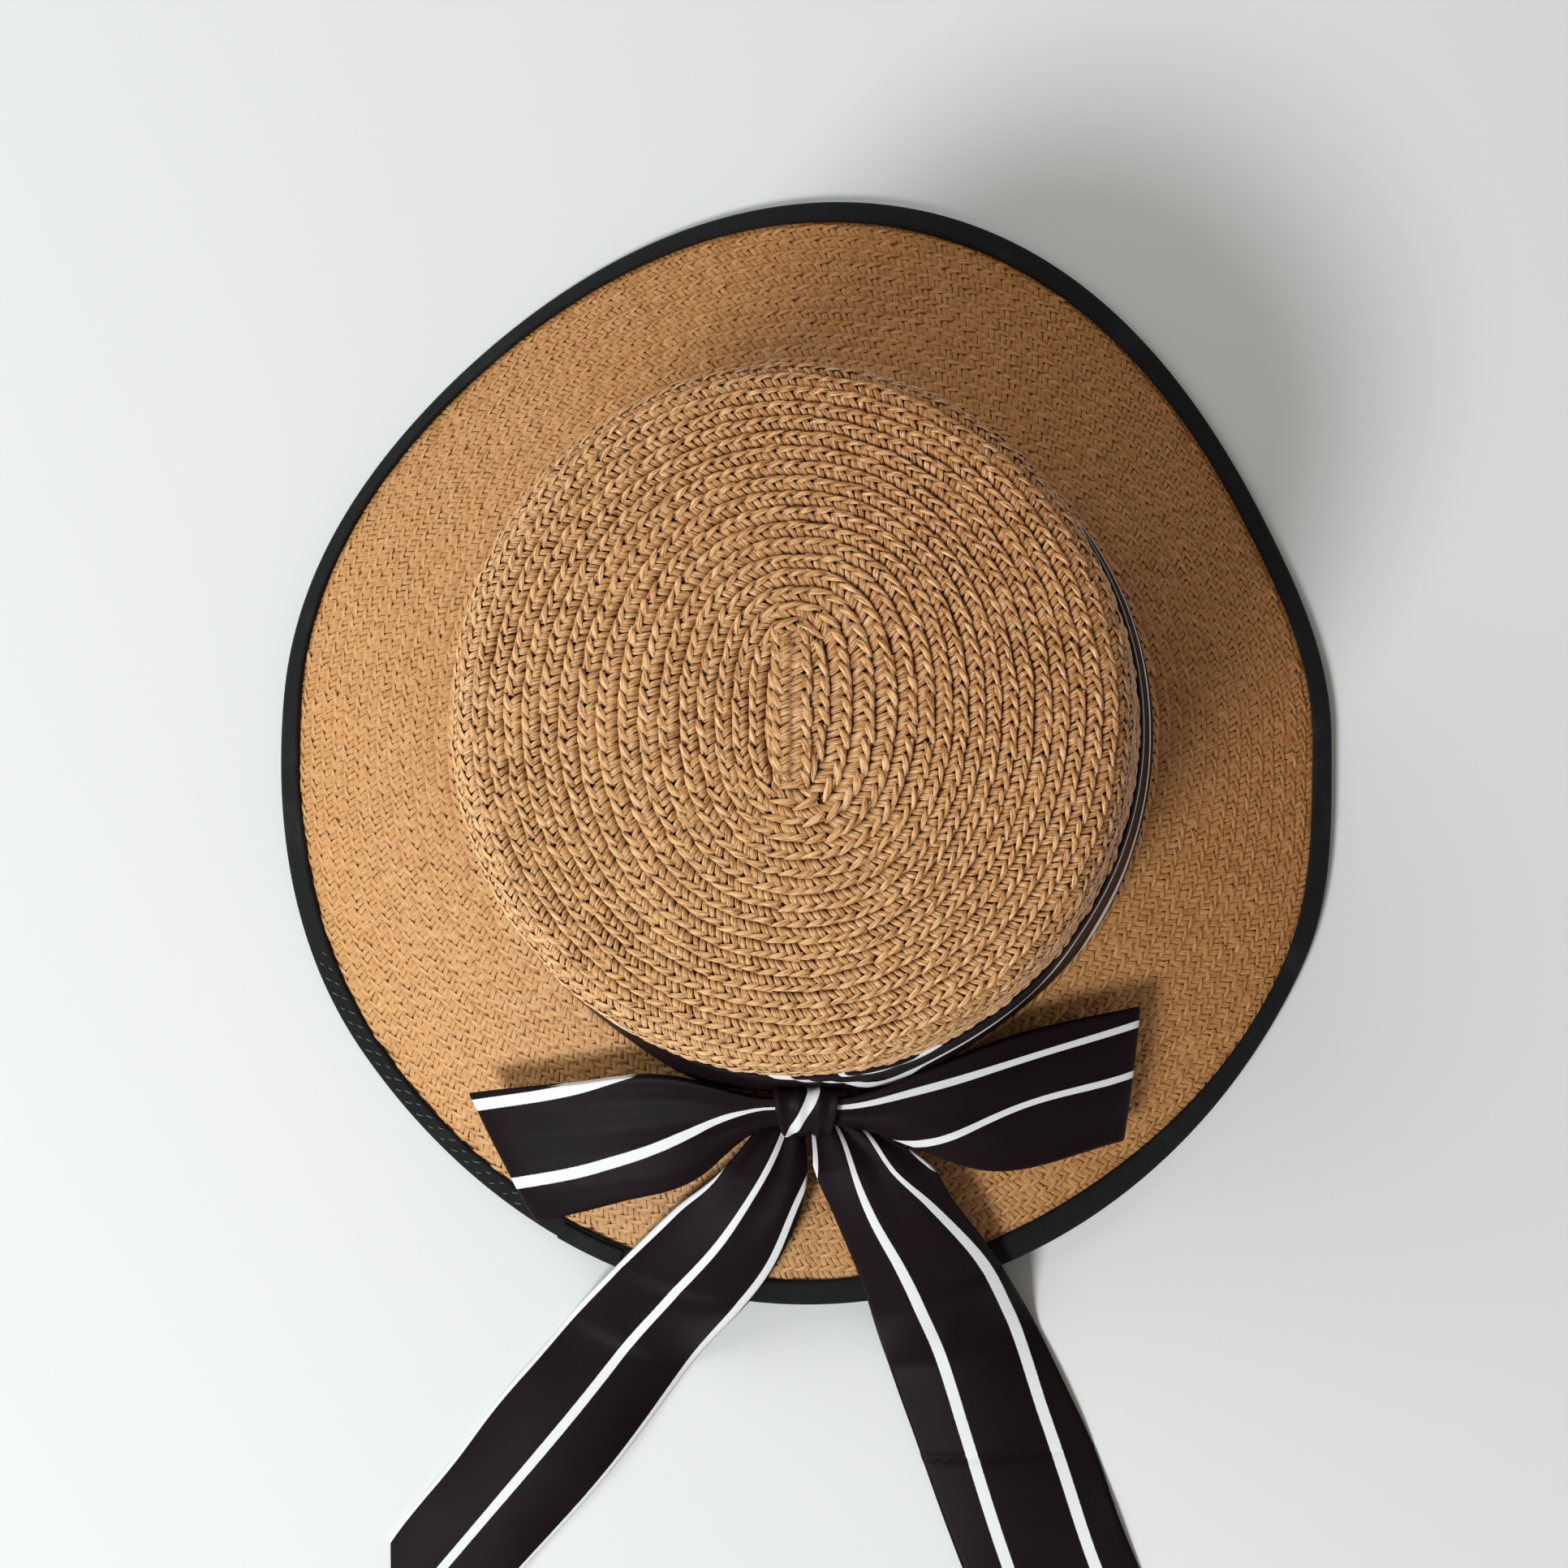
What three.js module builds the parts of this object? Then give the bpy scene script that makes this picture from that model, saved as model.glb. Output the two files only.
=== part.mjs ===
// A straw sun hat: a flat-topped crown and a drooping, wavy brim sewn from one spiral of
// straw braid, a tape bound round the brim's edge, and a striped ribbon round the foot of
// the crown that ends in a bow with two loops, a knot and two long tails.
//
// Millimetres, +Z up. The origin is on the crown's axis, on the surface that the hat
// stands on. +Y is the front of the hat and the bow is at the back, at -Y.

import * as THREE from 'three';
import { mergeVertices } from 'three/addons/utils/BufferGeometryUtils.js';

// ---- Driving dimensions ----

const GAP = 0.3; // running gap between neighbouring pieces
const STRAW = 1.8; // thickness of the sewn braid
const TAPE = 1.0; // wall of the binding tape
const RIBBON = 1.0; // wall of the doubled satin ribbon

const ROOT_Z = 28.4; // height of the join between crown and brim
const ROOT_RADIUS = 92.4; // outside of the crown's wall at that join
const NECK = 4; // radius of the turn from wall to brim

const CROWN = {
  wallHeight: 96.5, // from the join to the start of the shoulder
  shoulderX: 77.7, // half width at the shoulder, side to side
  shoulderY: 80.9, // half length at the shoulder, front to back
  shoulderRound: 7, // radius of the turn from wall to top
  dome: 1.6, // rise of the top's middle over its edge
  flare: 1.15, // how quickly the wall spreads towards its foot
  lean: -1.2, // sideways offset of the top from the foot
};

const BAND = { foot: 2.7, height: 42, spread: 0.8 };
const BINDING = { width: 6.6, nose: 1.5, slack: 0.15 };

// The brim's edge, crest by crest and dip by dip. angle is in degrees from +X, reach is how
// far the binding stands out from the crown's foot, drop is how far the straw hangs, and
// turn is the share of its mean slope that the brim has already at the crown.
const BRIM_WAVES = [
  { angle: 0, reach: 54.8, drop: 25, turn: 0.85 },
  { angle: 27, reach: 50.4, drop: 26, turn: 1 },
  { angle: 78, reach: 60.9, drop: 24.5, turn: 0.9 },
  { angle: 133, reach: 51.2, drop: 26.4, turn: 0.4 },
  { angle: 175, reach: 55.7, drop: 21, turn: 0.35 },
  { angle: 215, reach: 61.5, drop: 26, turn: 0.6 },
  { angle: 268, reach: 64.1, drop: 13.5, turn: 0.35 },
  { angle: 335, reach: 60.5, drop: 26, turn: 0.75 },
];

// A bow loop, section by section from the knot outwards. x, y and lift place the section's
// middle, lift counting from the join; turn and tilt are the degrees by which the section
// is swung round from straight back, and let down at its far edge.
const LEFT_LOOP = [
  { at: 0, x: -1.6, y: -100.1, lift: 11.2, width: 10.6, turn: 0, tilt: 45 },
  { at: 0.12, x: -10, y: -100.5, lift: 11, width: 11.6, turn: 1, tilt: 42 },
  { at: 0.35, x: -31.5, y: -104.8, lift: 9, width: 30, turn: 14, tilt: 18 },
  { at: 0.67, x: -57, y: -110, lift: 4.5, width: 35.5, turn: 22, tilt: 11 },
  { at: 1, x: -82.3, y: -115, lift: -1, width: 40, turn: 26.6, tilt: 8 },
];
const RIGHT_LOOP = [
  { at: 0, x: 3.2, y: -100.1, lift: 11.2, width: 10.6, turn: 0, tilt: 45 },
  { at: 0.12, x: 12, y: -100.3, lift: 11, width: 11.4, turn: -3, tilt: 42 },
  { at: 0.3, x: 29, y: -99.6, lift: 10.4, width: 22, turn: -8, tilt: 24 },
  { at: 0.52, x: 48, y: -99.2, lift: 7.5, width: 35.5, turn: -7, tilt: 15 },
  { at: 1, x: 88.2, y: -91.5, lift: 0.5, width: 37.5, turn: -5.7, tilt: 9 },
];
const LOOP = { mouth: 0.9, swell: 7.5, arch: 1.5 };

// A ribbon tail, section by section from the knot to its slanting cut. turn is the section's
// heading in degrees from +X and arch is how high its middle stands over its edges.
const LEFT_TAIL = [
  { at: 0, x: -4.5, y: -100.3, width: 8, turn: 0, arch: 0 },
  { at: 0.1, x: -10.8, y: -119, width: 23, turn: -9, arch: 1.5 },
  { at: 0.22, x: -22.6, y: -137.5, width: 31.6, turn: -32, arch: 4 },
  { at: 0.34, x: -38, y: -155.5, width: 34, turn: -34, arch: 4.5 },
  { at: 0.57, x: -65, y: -189, width: 37, turn: -36, arch: 3 },
  { at: 0.78, x: -91.3, y: -220.4, width: 39.4, turn: -66.8, arch: 1 },
  { at: 1, x: -117.5, y: -251.5, width: 51, turn: -89, arch: 0 },
];
const RIGHT_TAIL = [
  { at: 0, x: 5.1, y: -100.3, width: 8, turn: 0, arch: 0 },
  { at: 0.09, x: 17.5, y: -114.5, width: 30, turn: 2, arch: 1 },
  { at: 0.17, x: 24.3, y: -127.5, width: 32, turn: 9, arch: 2.5 },
  { at: 0.25, x: 32.2, y: -142.5, width: 35.6, turn: 14.6, arch: 3.5 },
  { at: 0.38, x: 41.5, y: -165, width: 41.6, turn: 20, arch: 2.5 },
  { at: 0.54, x: 54, y: -194.5, width: 45.5, turn: 19, arch: 1 },
  { at: 0.77, x: 70.2, y: -236.7, width: 50.1, turn: 45, arch: 0.5 },
  { at: 1, x: 86.5, y: -279, width: 62.5, turn: 63.3, arch: 0 },
];
const TAIL = { clearance: 2.3, fall: 26 };

const KNOT = { width: 17.2, y: -100.1, lift: 11.2, long: 9, short: 5.2, lean: 45 };

// How finely each piece is cut into facets.
const TURNS = 72;
const WALL_STEPS = 5;
const BRIM_STEPS = 6;
const LOOP_CELLS = { along: 22, across: 6 };
const TAIL_CELLS = { along: 24, across: 6 };

// ---- Shape of the hat ----

const degrees = THREE.MathUtils.degToRad;
const lerp = THREE.MathUtils.lerp;

const onCircle = (angle, radius, z) =>
  new THREE.Vector3(radius * Math.cos(angle), radius * Math.sin(angle), z);

// Eased interpolation round the ring of crests and dips.
function brimEdge(angle) {
  const turn = THREE.MathUtils.euclideanModulo(THREE.MathUtils.radToDeg(angle), 360);
  const count = BRIM_WAVES.length;
  let index = count - 1;
  for (let i = 0; i < count; i += 1) {
    if (turn >= BRIM_WAVES[i].angle) index = i;
  }
  const from = BRIM_WAVES[index];
  const to = BRIM_WAVES[(index + 1) % count];
  const span = THREE.MathUtils.euclideanModulo(to.angle - from.angle, 360);
  const share = (turn - from.angle) / span;
  const ease = (1 - Math.cos(Math.PI * share)) / 2;
  return {
    reach: lerp(from.reach, to.reach, ease),
    drop: lerp(from.drop, to.drop, ease),
    turn: lerp(from.turn, to.turn, ease),
  };
}

const brimFall = (share, turn) => share * (turn + (1 - turn) * share);
const brimSlope = (share, turn) => turn + 2 * (1 - turn) * share;

// Where the straw ends, inside the fold of the binding.
const strawReach = (angle) => brimEdge(angle).reach - BINDING.nose;

// A point of the brim's section: along runs outwards on the upper face, below goes under it.
function brimPoint(angle, along, below) {
  const { drop, turn } = brimEdge(angle);
  const reach = strawReach(angle);
  const share = along / reach;
  const steep = Math.atan((brimSlope(share, turn) * drop) / reach);
  const radius = ROOT_RADIUS + along - below * Math.sin(steep);
  const z = ROOT_Z - drop * brimFall(share, turn) - below * Math.cos(steep);
  return onCircle(angle, radius, z);
}

// The turn from wall to brim: bend goes from 0, upright, to a right angle, flat.
function neckPoint(angle, bend, below) {
  const { drop, turn } = brimEdge(angle);
  const round = NECK + below;
  const along = NECK - round * Math.cos(bend);
  const share = (NECK * (1 - Math.cos(bend))) / strawReach(angle);
  const fall = drop * brimFall(share, turn);
  return onCircle(angle, ROOT_RADIUS + along, ROOT_Z + NECK - round * Math.sin(bend) - fall);
}

// The crown's wall: half width and half length at a height over the join.
function crownWall(height) {
  const spread = Math.pow(1 - Math.min(1, height / CROWN.wallHeight), CROWN.flare);
  return {
    x: lerp(CROWN.shoulderX, ROOT_RADIUS, spread),
    y: lerp(CROWN.shoulderY, ROOT_RADIUS, spread),
  };
}

// A point that stands inset inside the crown's wall, level with a height over the join.
function crownPoint(angle, height, inset) {
  const wall = crownWall(height);
  const lean = (CROWN.lean * height) / CROWN.wallHeight;
  return new THREE.Vector3(
    lean + (wall.x - inset) * Math.cos(angle),
    (wall.y - inset) * Math.sin(angle),
    ROOT_Z + height,
  );
}

// ---- Builders of closed meshes ----

function surface(points, triangles) {
  const geometry = new THREE.BufferGeometry();
  const positions = points.flatMap((point) => point.toArray());
  geometry.setAttribute('position', new THREE.Float32BufferAttribute(positions, 3));
  geometry.setIndex(volumeOf(points, triangles) < 0 ? turned(triangles) : triangles);
  geometry.computeVertexNormals();
  return geometry;
}

function volumeOf(points, triangles) {
  const cross = new THREE.Vector3();
  let volume = 0;
  for (let i = 0; i < triangles.length; i += 3) {
    const [a, b, c] = [points[triangles[i]], points[triangles[i + 1]], points[triangles[i + 2]]];
    volume += a.dot(cross.crossVectors(b, c)) / 6;
  }
  return volume;
}

function turned(triangles) {
  const out = [];
  for (let i = 0; i < triangles.length; i += 3) {
    out.push(triangles[i], triangles[i + 2], triangles[i + 1]);
  }
  return out;
}

// A ring: one closed section, repeated round the crown's axis.
function ring(count, section) {
  const points = [];
  const triangles = [];
  const size = section(0).length;
  for (let i = 0; i < count; i += 1) points.push(...section((2 * Math.PI * i) / count));
  for (let i = 0; i < count; i += 1) {
    for (let j = 0; j < size; j += 1) {
      const a = i * size + j;
      const b = i * size + ((j + 1) % size);
      const c = ((i + 1) % count) * size + j;
      const d = ((i + 1) % count) * size + ((j + 1) % size);
      triangles.push(a, c, b, b, c, d);
    }
  }
  return surface(points, triangles);
}

// A dome: a section that starts and ends on the axis, repeated round it.
function dome(count, top, bottom, section) {
  const points = [top, bottom];
  const triangles = [];
  const size = section(0).length;
  for (let i = 0; i < count; i += 1) points.push(...section((2 * Math.PI * i) / count));
  for (let i = 0; i < count; i += 1) {
    const here = 2 + i * size;
    const next = 2 + ((i + 1) % count) * size;
    triangles.push(0, here, next);
    for (let j = 0; j < size - 1; j += 1) {
      triangles.push(here + j, here + j + 1, next + j);
      triangles.push(next + j, here + j + 1, next + j + 1);
    }
    triangles.push(1, next + size - 1, here + size - 1);
  }
  return surface(points, triangles);
}

// A sheet: place(u, v) gives its middle surface, and the wall lies evenly on both sides of it.
function sheet(place, along, across, thickness) {
  const step = 1e-3;
  const upper = [];
  const lower = [];
  for (let i = 0; i <= along; i += 1) {
    for (let j = 0; j <= across; j += 1) {
      const u = i / along;
      const v = j / across;
      const [u0, u1] = [Math.max(0, u - step), Math.min(1, u + step)];
      const [v0, v1] = [Math.max(0, v - step), Math.min(1, v + step)];
      const lengthwise = place(u1, v).sub(place(u0, v));
      const crosswise = place(u, v1).sub(place(u, v0));
      const normal = lengthwise.cross(crosswise).normalize().multiplyScalar(thickness / 2);
      upper.push(place(u, v).add(normal));
      lower.push(place(u, v).sub(normal));
    }
  }
  const rim = [];
  const at = (i, j) => i * (across + 1) + j;
  for (let j = 0; j < across; j += 1) rim.push(at(0, j));
  for (let i = 0; i < along; i += 1) rim.push(at(i, across));
  for (let j = across; j > 0; j -= 1) rim.push(at(along, j));
  for (let i = along; i > 0; i -= 1) rim.push(at(i, 0));
  const under = upper.length;
  const triangles = [];
  for (let i = 0; i < along; i += 1) {
    for (let j = 0; j < across; j += 1) {
      const [a, b, c, d] = [at(i, j), at(i, j + 1), at(i + 1, j), at(i + 1, j + 1)];
      triangles.push(a, c, b, b, c, d);
      triangles.push(under + a, under + b, under + c, under + b, under + d, under + c);
    }
  }
  rim.forEach((from, k) => {
    const to = rim[(k + 1) % rim.length];
    triangles.push(from, to, under + from, to, under + to, under + from);
  });
  return surface([...upper, ...lower], triangles);
}

// Smooth interpolation down a table: curve(share) gives each named column at that share.
function tableCurve(rows) {
  const columns = Object.keys(rows[0]).filter((name) => name !== 'at');
  const stations = rows.map((row) => row.at);
  const values = rows.flatMap((row) => columns.map((name) => row[name]));
  const track = new THREE.CubicInterpolant(stations, values, columns.length);
  return (share) => {
    const found = track.evaluate(share);
    return Object.fromEntries(columns.map((name, i) => [name, found[i]]));
  };
}

// ---- Crown and brim ----

const right = Math.PI / 2;
const steps = (count, from, to) =>
  Array.from({ length: count + 1 }, (_, i) => lerp(from, to, i / count));

function crownGeometry() {
  const topRound = CROWN.shoulderRound;
  const topHeight = CROWN.wallHeight + topRound;
  const skin = (angle, depth, rings, bends, heights) => {
    const shoulder = crownPoint(angle, CROWN.wallHeight, 0);
    const middle = new THREE.Vector3(CROWN.lean, 0, shoulder.z);
    const onTop = rings.map((share) => {
      const rise = topRound + CROWN.dome * (1 - share * share) - depth;
      const flat = crownPoint(angle, CROWN.wallHeight, topRound);
      return middle.clone().lerp(flat, share).setZ(shoulder.z + rise);
    });
    const onShoulder = bends.map((bend) => {
      const inset = topRound - (topRound - depth) * Math.sin(bend);
      const point = crownPoint(angle, CROWN.wallHeight, inset);
      return point.setZ(shoulder.z + (topRound - depth) * Math.cos(bend));
    });
    return [...onTop, ...onShoulder, ...heights.map((h) => crownPoint(angle, h, depth))];
  };
  const foot = NECK + GAP;
  const heights = steps(WALL_STEPS, CROWN.wallHeight, foot).slice(1);
  const section = (angle) => [
    ...skin(angle, 0, [0.5, 0.84], steps(3, 0, right), heights),
    ...skin(angle, STRAW, [0.5], steps(2, 0, right), heights).reverse(),
  ];
  const centre = (depth) =>
    new THREE.Vector3(CROWN.lean, 0, ROOT_Z + topHeight + CROWN.dome - depth);
  return dome(TURNS, centre(0), centre(STRAW), section);
}

function brimGeometry() {
  const bends = steps(3, 0, right).slice(0, -1);
  return ring(TURNS, (angle) => {
    const distances = steps(BRIM_STEPS, NECK, strawReach(angle));
    const skin = (below) => [
      ...bends.map((bend) => neckPoint(angle, bend, below)),
      ...distances.map((along) => brimPoint(angle, along, below)),
    ];
    return [...skin(0), ...skin(STRAW).reverse()];
  });
}

// ---- Binding and band ----

// The tape's fold. Its underside has a narrow level land, which is pressed onto the surface
// wherever the brim dips to it.
function bindingGeometry() {
  const inside = GAP + BINDING.slack;
  const outside = inside + TAPE;
  const half = BINDING.width / 2;
  return ring(TURNS, (angle) => {
    const edge = strawReach(angle);
    const at = (out, below) => brimPoint(angle, edge + out, below);
    const pressed = (point) => point.setZ(Math.max(0, point.z));
    return [
      at(BINDING.nose - BINDING.width, -outside),
      at(BINDING.nose - half, -outside),
      at(inside, -outside),
      at(outside, -inside),
      pressed(at(outside, STRAW + inside)),
      pressed(at(-0.2, STRAW + outside)),
      pressed(at(BINDING.nose - half, STRAW + outside)),
      at(BINDING.nose - BINDING.width, STRAW + outside),
      at(BINDING.nose - BINDING.width, STRAW + inside),
      at(BINDING.nose - half, STRAW + inside),
      at(inside, STRAW + inside),
      at(inside, -inside),
      at(BINDING.nose - half, -inside),
      at(BINDING.nose - BINDING.width, -inside),
    ];
  });
}

function bandGeometry() {
  const top = BAND.foot + BAND.height;
  const heights = steps(3, top, BAND.foot);
  return ring(TURNS, (angle) => {
    const skin = (thickness) =>
      heights.map((height) => {
        const spread = BAND.spread * Math.pow(1 - (height - BAND.foot) / BAND.height, 3);
        return crownPoint(angle, height, -(GAP + spread + thickness));
      });
    return [...skin(RIBBON), ...skin(0).reverse()];
  });
}

// ---- Bow ----

// A loop runs out from the knot as the upper layer, folds over and comes back beneath it.
function loopGeometry(rows) {
  const sections = tableCurve(rows);
  const place = (u, v) => {
    const bend = Math.PI * (u - 0.5);
    const share = Math.cos(bend);
    const { x, y, lift, width, turn, tilt } = sections(share);
    const swing = degrees(turn);
    const level = (v - 0.5) * width * Math.cos(degrees(tilt));
    const layer = -Math.sin(bend) * (LOOP.mouth + LOOP.swell * share);
    const arch = LOOP.arch * share * (1 - (2 * v - 1) ** 2);
    return new THREE.Vector3(
      x + level * Math.sin(swing),
      y - level * Math.cos(swing),
      ROOT_Z + lift - (v - 0.5) * width * Math.sin(degrees(tilt)) + layer + arch,
    );
  };
  return sheet(place, LOOP_CELLS.along, LOOP_CELLS.across, RIBBON);
}

// The height at which a ribbon lies: on the brim, or past its edge down to the surface.
function restHeight(x, y) {
  const angle = Math.atan2(y, x);
  const out = Math.hypot(x, y) - ROOT_RADIUS;
  const edge = strawReach(angle);
  const onBrim = brimPoint(angle, Math.min(out, edge), 0).z + TAIL.clearance;
  const share = THREE.MathUtils.clamp((out - edge) / TAIL.fall, 0, 1);
  return lerp(onBrim, RIBBON / 2, (1 - Math.cos(Math.PI * share)) / 2);
}

function tailGeometry(rows) {
  const sections = tableCurve(rows);
  const place = (u, v) => {
    const { x, y, width, turn, arch } = sections(u);
    const heading = degrees(turn);
    const across = (v - 0.5) * width;
    const [px, py] = [x + across * Math.cos(heading), y + across * Math.sin(heading)];
    return new THREE.Vector3(px, py, restHeight(px, py) + arch * (1 - (2 * v - 1) ** 2));
  };
  return sheet(place, TAIL_CELLS.along, TAIL_CELLS.across, RIBBON);
}

// The knot: a short wrap of ribbon, open at both sides where the loops go in.
function knotGeometry() {
  const outline = new THREE.Shape();
  outline.absellipse(0, 0, KNOT.long, KNOT.short, 0, 2 * Math.PI);
  const inside = new THREE.Path();
  inside.absellipse(0, 0, KNOT.long - RIBBON, KNOT.short - RIBBON, 0, 2 * Math.PI);
  outline.holes.push(inside);
  const options = { depth: KNOT.width, bevelEnabled: false, curveSegments: 16 };
  const geometry = new THREE.ExtrudeGeometry(outline, options);
  geometry.translate(0, 0, -KNOT.width / 2);
  geometry.rotateZ(degrees(KNOT.lean));
  geometry.rotateX(right);
  geometry.rotateZ(right);
  geometry.translate(0.8, KNOT.y, ROOT_Z + KNOT.lift);
  return mergeVertices(geometry.deleteAttribute('uv').deleteAttribute('normal'));
}

// ---- The hat ----

const material = (color, roughness) =>
  new THREE.MeshStandardMaterial({ color, roughness, metalness: 0 });

const hat = new THREE.Group();
hat.name = 'straw_sun_hat';

function add(name, geometry, color, roughness) {
  const piece = new THREE.Mesh(geometry, material(color, roughness));
  piece.name = name;
  hat.add(piece);
}

const STRAW_COLOR = 0xc79a62;
const TAPE_COLOR = 0x1c1c1e;
const RIBBON_COLOR = 0x262024;

add('crown', crownGeometry(), STRAW_COLOR, 0.75);
add('brim', brimGeometry(), STRAW_COLOR, 0.75);
add('edge_binding', bindingGeometry(), TAPE_COLOR, 0.9);
add('hat_band', bandGeometry(), RIBBON_COLOR, 0.45);
add('bow_loop_left', loopGeometry(LEFT_LOOP), RIBBON_COLOR, 0.45);
add('bow_loop_right', loopGeometry(RIGHT_LOOP), RIBBON_COLOR, 0.45);
add('bow_knot', knotGeometry(), RIBBON_COLOR, 0.45);
add('ribbon_tail_left', tailGeometry(LEFT_TAIL), RIBBON_COLOR, 0.45);
add('ribbon_tail_right', tailGeometry(RIGHT_TAIL), RIBBON_COLOR, 0.45);

export default hat;
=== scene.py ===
"""A straw sun hat: sewn braid, a bound brim, and a striped satin ribbon tied in a bow."""

import math

import bpy
import numpy as np
from mathutils import Matrix


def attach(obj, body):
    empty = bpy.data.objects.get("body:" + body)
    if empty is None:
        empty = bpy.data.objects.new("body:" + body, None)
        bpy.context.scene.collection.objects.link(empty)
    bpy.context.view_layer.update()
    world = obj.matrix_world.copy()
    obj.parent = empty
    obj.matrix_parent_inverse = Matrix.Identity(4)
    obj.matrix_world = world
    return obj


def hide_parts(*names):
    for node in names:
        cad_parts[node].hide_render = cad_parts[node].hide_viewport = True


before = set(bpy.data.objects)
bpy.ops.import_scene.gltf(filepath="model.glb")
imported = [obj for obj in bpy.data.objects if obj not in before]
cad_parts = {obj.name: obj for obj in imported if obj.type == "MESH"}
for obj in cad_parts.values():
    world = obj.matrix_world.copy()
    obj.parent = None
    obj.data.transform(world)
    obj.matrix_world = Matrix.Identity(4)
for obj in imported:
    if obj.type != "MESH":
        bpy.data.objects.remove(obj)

bl_info = {
    "name": "Straw Sun Hat",
    "version": (1, 0, 0),
    "blender": (4, 5, 0),
    "location": "3D View > Sidebar > Sun Hat",
    "description": "Builds a sewn straw sun hat with a ribbon bow",
    "category": "Object",
}

MM = 0.001
TURN = 2 * math.pi


def table(columns, *rows):
    """A short table as records, from the names of its columns and its rows."""
    return [dict(zip(columns.split(), row)) for row in rows]


# ---------------------------------------------------------------------------
# Sizes of the hat, in millimetres, the same as the frame's
# ---------------------------------------------------------------------------

STRAW = 1.8  # thickness of the sewn braid
RIBBON = 1.0  # thickness of the band and the knot
TAPE = 1.0

ROOT_Z = 28.4  # height of the join between crown and brim
ROOT_RADIUS = 92.4  # outside of the crown's wall at that join
NECK = 4.0  # radius of the turn from wall to brim
WALL_HEIGHT = 96.5
SHOULDER_X = 77.7
SHOULDER_Y = 80.9
SHOULDER_ROUND = 7.0
SHOULDER_ARC = SHOULDER_ROUND * math.pi / 2
DOME = 1.6  # how far the top rises in its middle
FLARE = 1.15  # power of the wall's outward curve towards its foot
LEAN = -1.2  # how far the top lies off the foot, along X

BUTTON = {"x": -0.75, "y": 1.8, "half_x": 4.1, "half_y": 15.6}
OBLONG = 0.6  # how far the rows by the button are from ovals towards oblongs
DRIFT = 2.6  # how far the rows round the button lie off its middle, towards +X
DRIFT_PEAK = 45.6  # makes share**2 * (1 - share)**4 reach 1

BAND_FOOT = 2.7
BAND_HEIGHT = 42.0
BAND_SPREAD = 0.8  # how far the band's foot stands off the wall
STRIPE_PERIOD = 23.5  # from stripe to stripe
BINDING_NOSE = 1.5  # how far the tape stands out past the straw
BINDING_SLACK = 0.45

# The brim's edge: degrees from +X, how far it stands out, how far it hangs, and the share
# of its mean slope that it has at the crown.
BRIM_WAVES = table(
    "angle reach drop turn",
    (0, 54.8, 25, 0.85),
    (27, 50.4, 26, 1.0),
    (78, 60.9, 24.5, 0.9),
    (133, 51.2, 26.4, 0.4),
    (175, 55.7, 21, 0.35),
    (215, 61.5, 26, 0.6),
    (268, 64.1, 13.5, 0.35),
    (335, 60.5, 26, 0.75),
)

# Bow loops from the knot outwards. first and second are where two neighbouring stripes run,
# as shares of the width.
LEFT_LOOP = table(
    "at x y lift width turn tilt first second",
    (0, -1.6, -100.1, 11.2, 10.6, 0, 45, -0.3, 0.3),
    (0.12, -10, -100.5, 11, 11.6, 1, 42, -0.25, 0.35),
    (0.35, -31.5, -104.8, 9, 30, 14, 18, -0.1, 0.56),
    (0.67, -57, -110, 4.5, 35.5, 22, 11, 0.04, 0.68),
    (1, -82.3, -115, -1, 40, 26.6, 8, 0.09, 0.69),
)
RIGHT_LOOP = table(
    "at x y lift width turn tilt first second",
    (0, 3.2, -100.1, 11.2, 10.6, 0, 45, 0.3, 1.3),
    (0.12, 12, -100.3, 11, 11.4, -3, 42, 0.28, 1.25),
    (0.3, 29, -99.6, 10.4, 22, -8, 24, 0.24, 0.98),
    (0.52, 48, -99.2, 7.5, 35.5, -7, 15, 0.2, 0.62),
    (1, 88.2, -91.5, 0.5, 37.5, -5.7, 9, 0.12, 0.49),
)
LOOP_MOUTH = 0.9  # half the gap between a loop's layers at the knot
LOOP_SWELL = 4.8  # how much that half gap grows towards the loop's end
LOOP_SAG = 2.6  # how far a loop's outer end sinks towards the brim
LOOP_ARCH = 1.5  # how far a loop's middle stands over its edges

# Ribbon tails from the knot to the cut end.
LEFT_TAIL = table(
    "at x y width turn arch first second",
    (0, -4.5, -100.3, 8, 0, 0, -0.3, 0.6),
    (0.1, -10.8, -119, 23, -9, 1.5, -0.02, 0.48),
    (0.22, -22.6, -137.5, 31.6, -32, 4, 0.02, 0.485),
    (0.34, -38, -155.5, 34, -34, 4.5, 0.01, 0.49),
    (0.57, -65, -189, 37, -36, 3, 0.0, 0.5),
    (0.78, -91.3, -220.4, 39.4, -66.8, 1, 0.0, 0.5),
    (1, -117.5, -251.5, 51, -89, 0, 0.0, 0.5),
)
RIGHT_TAIL = table(
    "at x y width turn arch first second",
    (0, 5.1, -100.3, 8, 0, 0, 0.5, 0.95),
    (0.09, 17.5, -114.5, 30, 2, 1, 0.34, 0.66),
    (0.17, 24.3, -127.5, 32, 9, 2.5, 0.3, 0.8),
    (0.25, 32.2, -142.5, 35.6, 14.6, 3.5, 0.32, 0.88),
    (0.38, 41.5, -165, 41.6, 20, 2.5, 0.35, 0.88),
    (0.54, 54, -194.5, 45.5, 19, 1, 0.3, 0.8),
    (0.77, 70.2, -236.7, 50.1, 45, 0.5, 0.25, 0.76),
    (1, 86.5, -279, 62.5, 63.3, 0, 0.25, 0.76),
)
TAIL_CLEARANCE = 2.3  # from the brim's face to the ribbon's middle
TAIL_FALL = 26.0  # how far past the brim's edge a tail reaches the surface

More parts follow.
